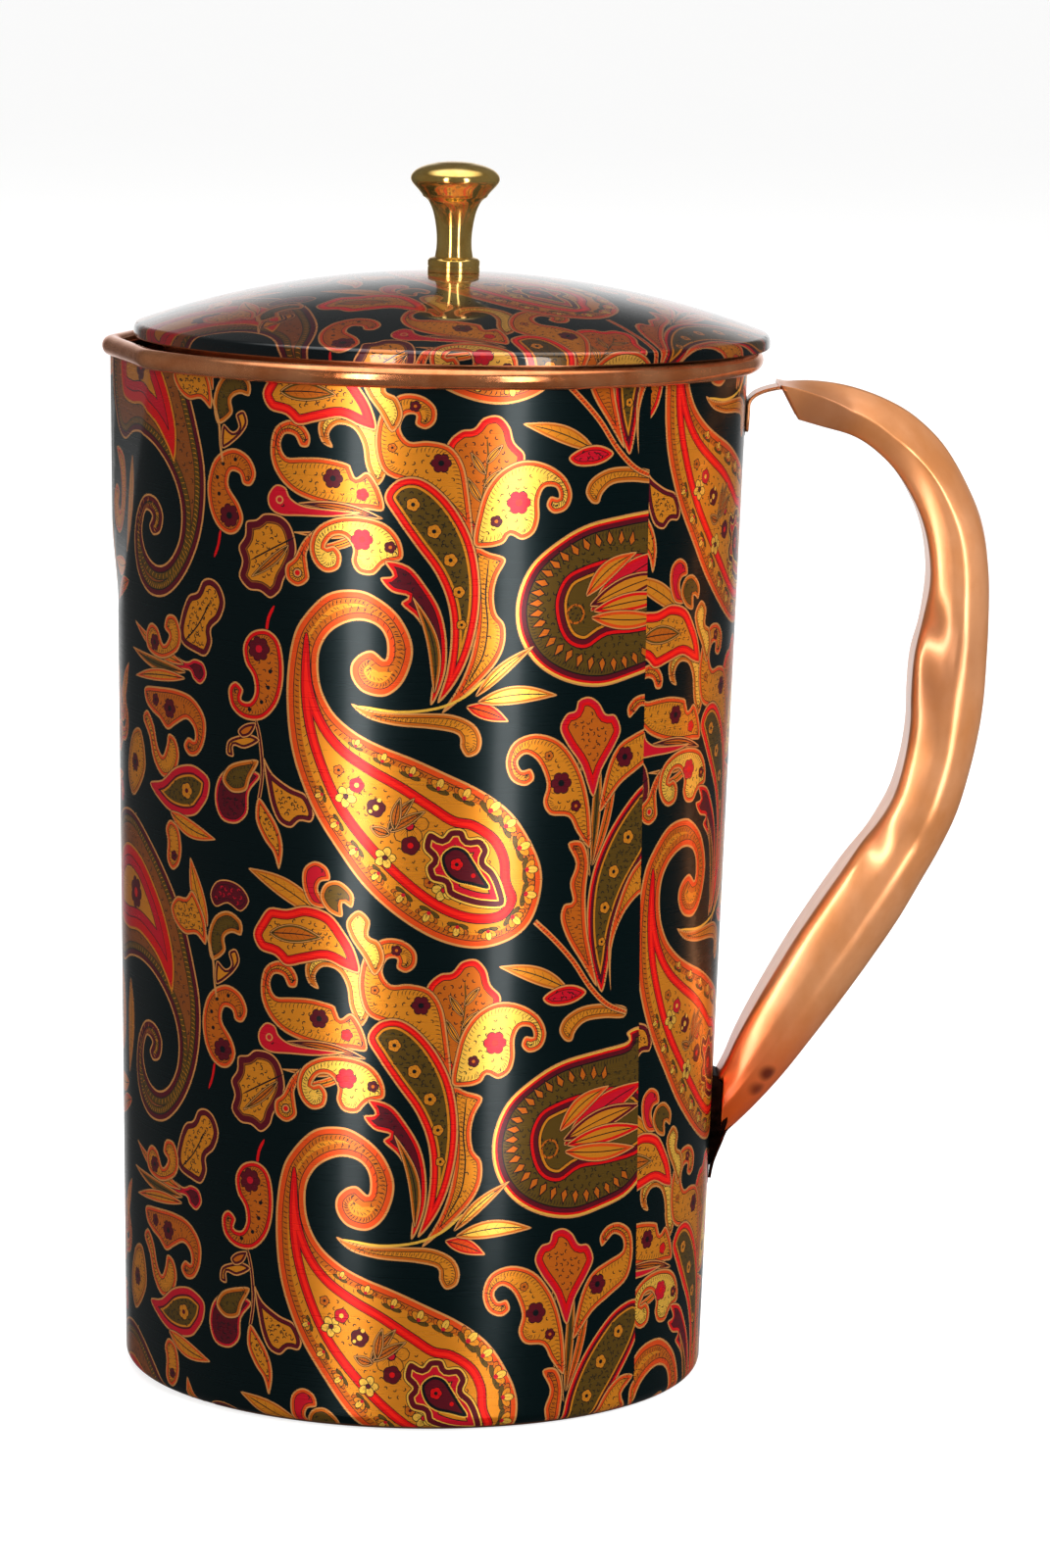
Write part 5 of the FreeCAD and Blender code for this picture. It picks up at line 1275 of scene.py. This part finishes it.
line[:, 0] = np.maximum(line[:, 0], cone_r(line[:, 1]) + BRAZE_T)
hw = np.interp(np.linspace(0, 1, len(line)), [0, 0.25, 0.5, 0.8, 1.0], [2.4, 3.2, 2.9, 1.5, 0.35])
t_lo = capped("handle_tongue_lower", ribbon("t", line, hw, 0.5, None, 1), MAT["tongue_heated_and_shaded"])
for o, nodes in ((hd, ("handle_shell", "handle_finger_strip")), (t_up, ()), (t_lo, ())):
    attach(o, "jug")
    if nodes:
        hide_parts(*nodes)

# ------------------------------------------------------------------ knob
K = [(0.0, 0.0), (4.95, 0.0), (4.95, 2.35), (4.6, 2.7), (3.55, 2.95), (3.38, 4.4), (3.32, 6.0),
     (3.42, 7.8), (3.72, 9.8), (4.2, 11.7), (4.95, 13.3), (5.75, 14.1), (6.15, 14.35), (6.35, 14.75),
     (6.9, 15.4), (7.9, 16.5), (8.4, 17.3), (8.45, 18.0), (8.1, 18.7), (7.2, 19.5), (5.6, 20.2), (3.4, 20.75), (0.0, 21.0)]


def chain(parts, n=7):
    out = []
    for kind, pts in parts:
        p = spl(pts, False, n) if kind == "s" else np.array(pts, float)
        out += [tuple(q) for q in p]
    return out


prof_k = chain([("l", [(2.1, 0.0), (4.80, 0.0), (4.93, 0.05), (4.95, 0.2)]), ("l", [(4.95, 1.02), (4.86, 1.10), (4.86, 1.24), (4.95, 1.32)]), ("l", [(4.95, 2.2), (4.90, 2.34), (4.80, 2.42)]), ("s", [(4.6, 2.68), (4.1, 2.84), (3.62, 2.98)]),
                ("s", K[5:12]), ("l", [(6.1, 14.3), (6.17, 14.42)]), ("s", [K[13]] + K[14:22]), ("l", [(1.8, 20.93), (0.01, 20.99)])])
rows = []
for a in np.linspace(0, 2 * math.pi, 96, endpoint=False):
    rows.append([(LID_X + r * math.cos(a), r * math.sin(a), LID_Z + z) for r, z in prof_k])
kn = grid_obj("knob_turned", rows, MAT["knob_brass"], True, False)
bm = bmesh.new(); bm.from_mesh(kn.data)
bmesh.ops.remove_doubles(bm, verts=bm.verts, dist=2e-6)
bmesh.ops.recalc_face_normals(bm, faces=bm.faces)
bm.to_mesh(kn.data); bm.free()
for p in kn.data.polygons:
    p.use_smooth = True
kn.data.set_sharp_from_angle(angle=math.radians(38))
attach(kn, "lid"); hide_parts("lid_knob")

# ------------------------------------------------------------------ finishes of the CAD parts that stay
FIN = {"body_shell": "inside_copper", "rim_core_wire": "wire_copper", "handle_upper_braze": "braze_dark_and_shade", "handle_lower_braze": "braze_dark_and_shade",
       "lid_dome": "inside_copper", "lid_collar": "inside_copper", "lid_collar_solder": "solder_grey", "knob_washer": "knob_brass", "knob_screw": "steel_screw"}
for n, k in FIN.items():
    ob = NODES[n]
    if not ob.data.materials:
        ob.data.materials.append(MAT[k])
    for i in range(len(ob.material_slots)):
        ob.material_slots[i].link = "OBJECT"
        ob.material_slots[i].material = MAT[k]


# ------------------------------------------------------------------ camera, floor, light
WORLD_BACK, WORLD_ROOM, WORLD_TOP = 0.95, 0.07, 2.0
# name, angle from the camera's direction, distance, height, width, length, watts
PANELS = [
    ("soft_left", -24.0, 1.5, 0.35, 0.24, 1.5, 9.0), ("soft_left_wide", -24.0, 1.56, 0.35, 0.46, 1.5, 1.3),
    ("soft_right", 30.0, 1.5, 0.35, 0.24, 1.5, 8.0), ("soft_right_wide", 30.0, 1.56, 0.35, 0.46, 1.5, 1.3),
]
# fill that lightens matt surfaces and is not mirrored by shiny ones
FILLS = [("fill_left", -38.0, 1.6, 0.7, 1.2, 1.2, 26.0), ("fill_right", 52.0, 1.6, 0.7, 1.2, 1.2, 36.0), ("fill_side", 92.0, 1.6, 0.7, 1.0, 1.2, 34.0), ("fill_back", 180.0, 1.6, 2.6, 2.0, 2.0, 70.0)]


def add_camera():
    D, H = 1.0708, 0.2826
    f_px, yaw, pitch, roll = 5748.0, 0.0182, 0.1567, 0.0220
    cam = bpy.data.cameras.new("camera")
    ob = bpy.data.objects.new("camera", cam)
    SCN.collection.objects.link(ob)
    fw = Vector((math.sin(yaw) * math.cos(pitch), math.cos(yaw) * math.cos(pitch), -math.sin(pitch)))
    rt = Vector((math.cos(yaw), -math.sin(yaw), 0.0))
    up = rt.cross(fw)
    r2 = math.cos(roll) * rt + math.sin(roll) * up
    u2 = -math.sin(roll) * rt + math.cos(roll) * up
    m = Matrix((r2, u2, -fw)).transposed().to_4x4()
    m.translation = Vector((0.0, -D, H))
    ob.matrix_world = m
    cam.sensor_fit = "VERTICAL"
    cam.sensor_height = 36.0
    cam.lens = f_px / 1600.0 * 36.0
    cam.clip_start = 0.05
    cam.clip_end = 120.0
    SCN.camera = ob
    return ob


add_camera()
SCN.view_settings.view_transform = "Standard"
SCN.view_settings.look = "None"

floor_me = bpy.data.meshes.new("floor")
n = 96
fv = [(60.0 * math.cos(2 * math.pi * i / n), 60.0 * math.sin(2 * math.pi * i / n), -0.0002) for i in range(n)]
floor_me.from_pydata(fv, [], [tuple(range(n))])
floor = bpy.data.objects.new("floor", floor_me)
SCN.collection.objects.link(floor)
m, nt, b = base_mat("floor_pale", "#9c9c9b", 0.0, 0.8)
g = streaks(nt, (9.0, 9.0, 9.0), 4.0)
nt.links.new(to_range(nt, g, 0.72, 0.86), b.inputs["Roughness"])
lp = nt.nodes.new("ShaderNodeLightPath")
b.inputs["Emission Color"].default_value = (1.0, 1.0, 1.0, 1.0)
r = nt.nodes.new("ShaderNodeMapRange")
r.inputs["To Min"].default_value = 0.35
r.inputs["To Max"].default_value = 0.70
nt.links.new(lp.outputs["Is Camera Ray"], r.inputs["Value"])
nt.links.new(r.outputs["Result"], b.inputs["Emission Strength"])
floor_me.materials.append(m)
floor.visible_glossy = False

w = bpy.data.worlds.new("world")
SCN.world = w
w.use_nodes = True
nt = w.node_tree
bg = nt.nodes["Background"]
tc = nt.nodes.new("ShaderNodeTexCoord")
sep = nt.nodes.new("ShaderNodeSeparateXYZ")
nt.links.new(tc.outputs["Generated"], sep.inputs["Vector"])


def span(sock, f0, f1, t0, t1):
    r = nt.nodes.new("ShaderNodeMapRange")
    r.interpolation_type = "SMOOTHSTEP"
    for key, v in (("From Min", f0), ("From Max", f1), ("To Min", t0), ("To Max", t1)):
        r.inputs[key].default_value = v
    nt.links.new(sock, r.inputs["Value"])
    return r.outputs["Result"]


def math2(op, a, c):
    q = nt.nodes.new("ShaderNodeMath")
    q.operation = op
    for i, v in enumerate((a, c)):
        if isinstance(v, (int, float)):
            q.inputs[i].default_value = v
        else:
            nt.links.new(v, q.inputs[i])
    return q.outputs["Value"]


# a bright backdrop low behind the jug, a dim room elsewhere
back = math2("MULTIPLY", span(sep.outputs["Y"], 0.88, 0.995, 0.0, WORLD_BACK), span(sep.outputs["Z"], 0.10, 0.50, 1.0, 0.1))
back = math2("ADD", back, span(sep.outputs["Z"], 0.72, 0.94, 0.0, WORLD_TOP))
room = math2("ADD", back, span(sep.outputs["X"], -0.5, -1.0, WORLD_ROOM, WORLD_ROOM + 0.05))
lp = nt.nodes.new("ShaderNodeLightPath")
mx = nt.nodes.new("ShaderNodeMix")
mx.data_type = "FLOAT"
mx.inputs["B"].default_value = 1.0
nt.links.new(lp.outputs["Is Camera Ray"], mx.inputs["Factor"])
nt.links.new(room, mx.inputs["A"])
nt.links.new(mx.outputs["Result"], bg.inputs["Strength"])
bg.inputs["Color"].default_value = (1.0, 1.0, 1.0, 1)


def panel(name, az, dist, zc, wx, hz, power, color=(1, 1, 1), aim=0.11):
    """Soft light panel at an angle from the camera's direction, turned to the jug."""
    a = math.radians(az)
    L = bpy.data.lights.new(name, "AREA")
    L.shape = "RECTANGLE"
    L.size, L.size_y = wx, hz
    L.energy = power
    L.color = color
    o = bpy.data.objects.new(name, L)
    SCN.collection.objects.link(o)
    p = Vector((dist * math.sin(a), -dist * math.cos(a), zc))
    o.location = p
    o.rotation_euler = (Vector((0, 0, aim)) - p).to_track_quat("-Z", "Y").to_euler()
    return o


for p in PANELS:
    panel(*p)
for p in FILLS:
    panel(*p).visible_glossy = False
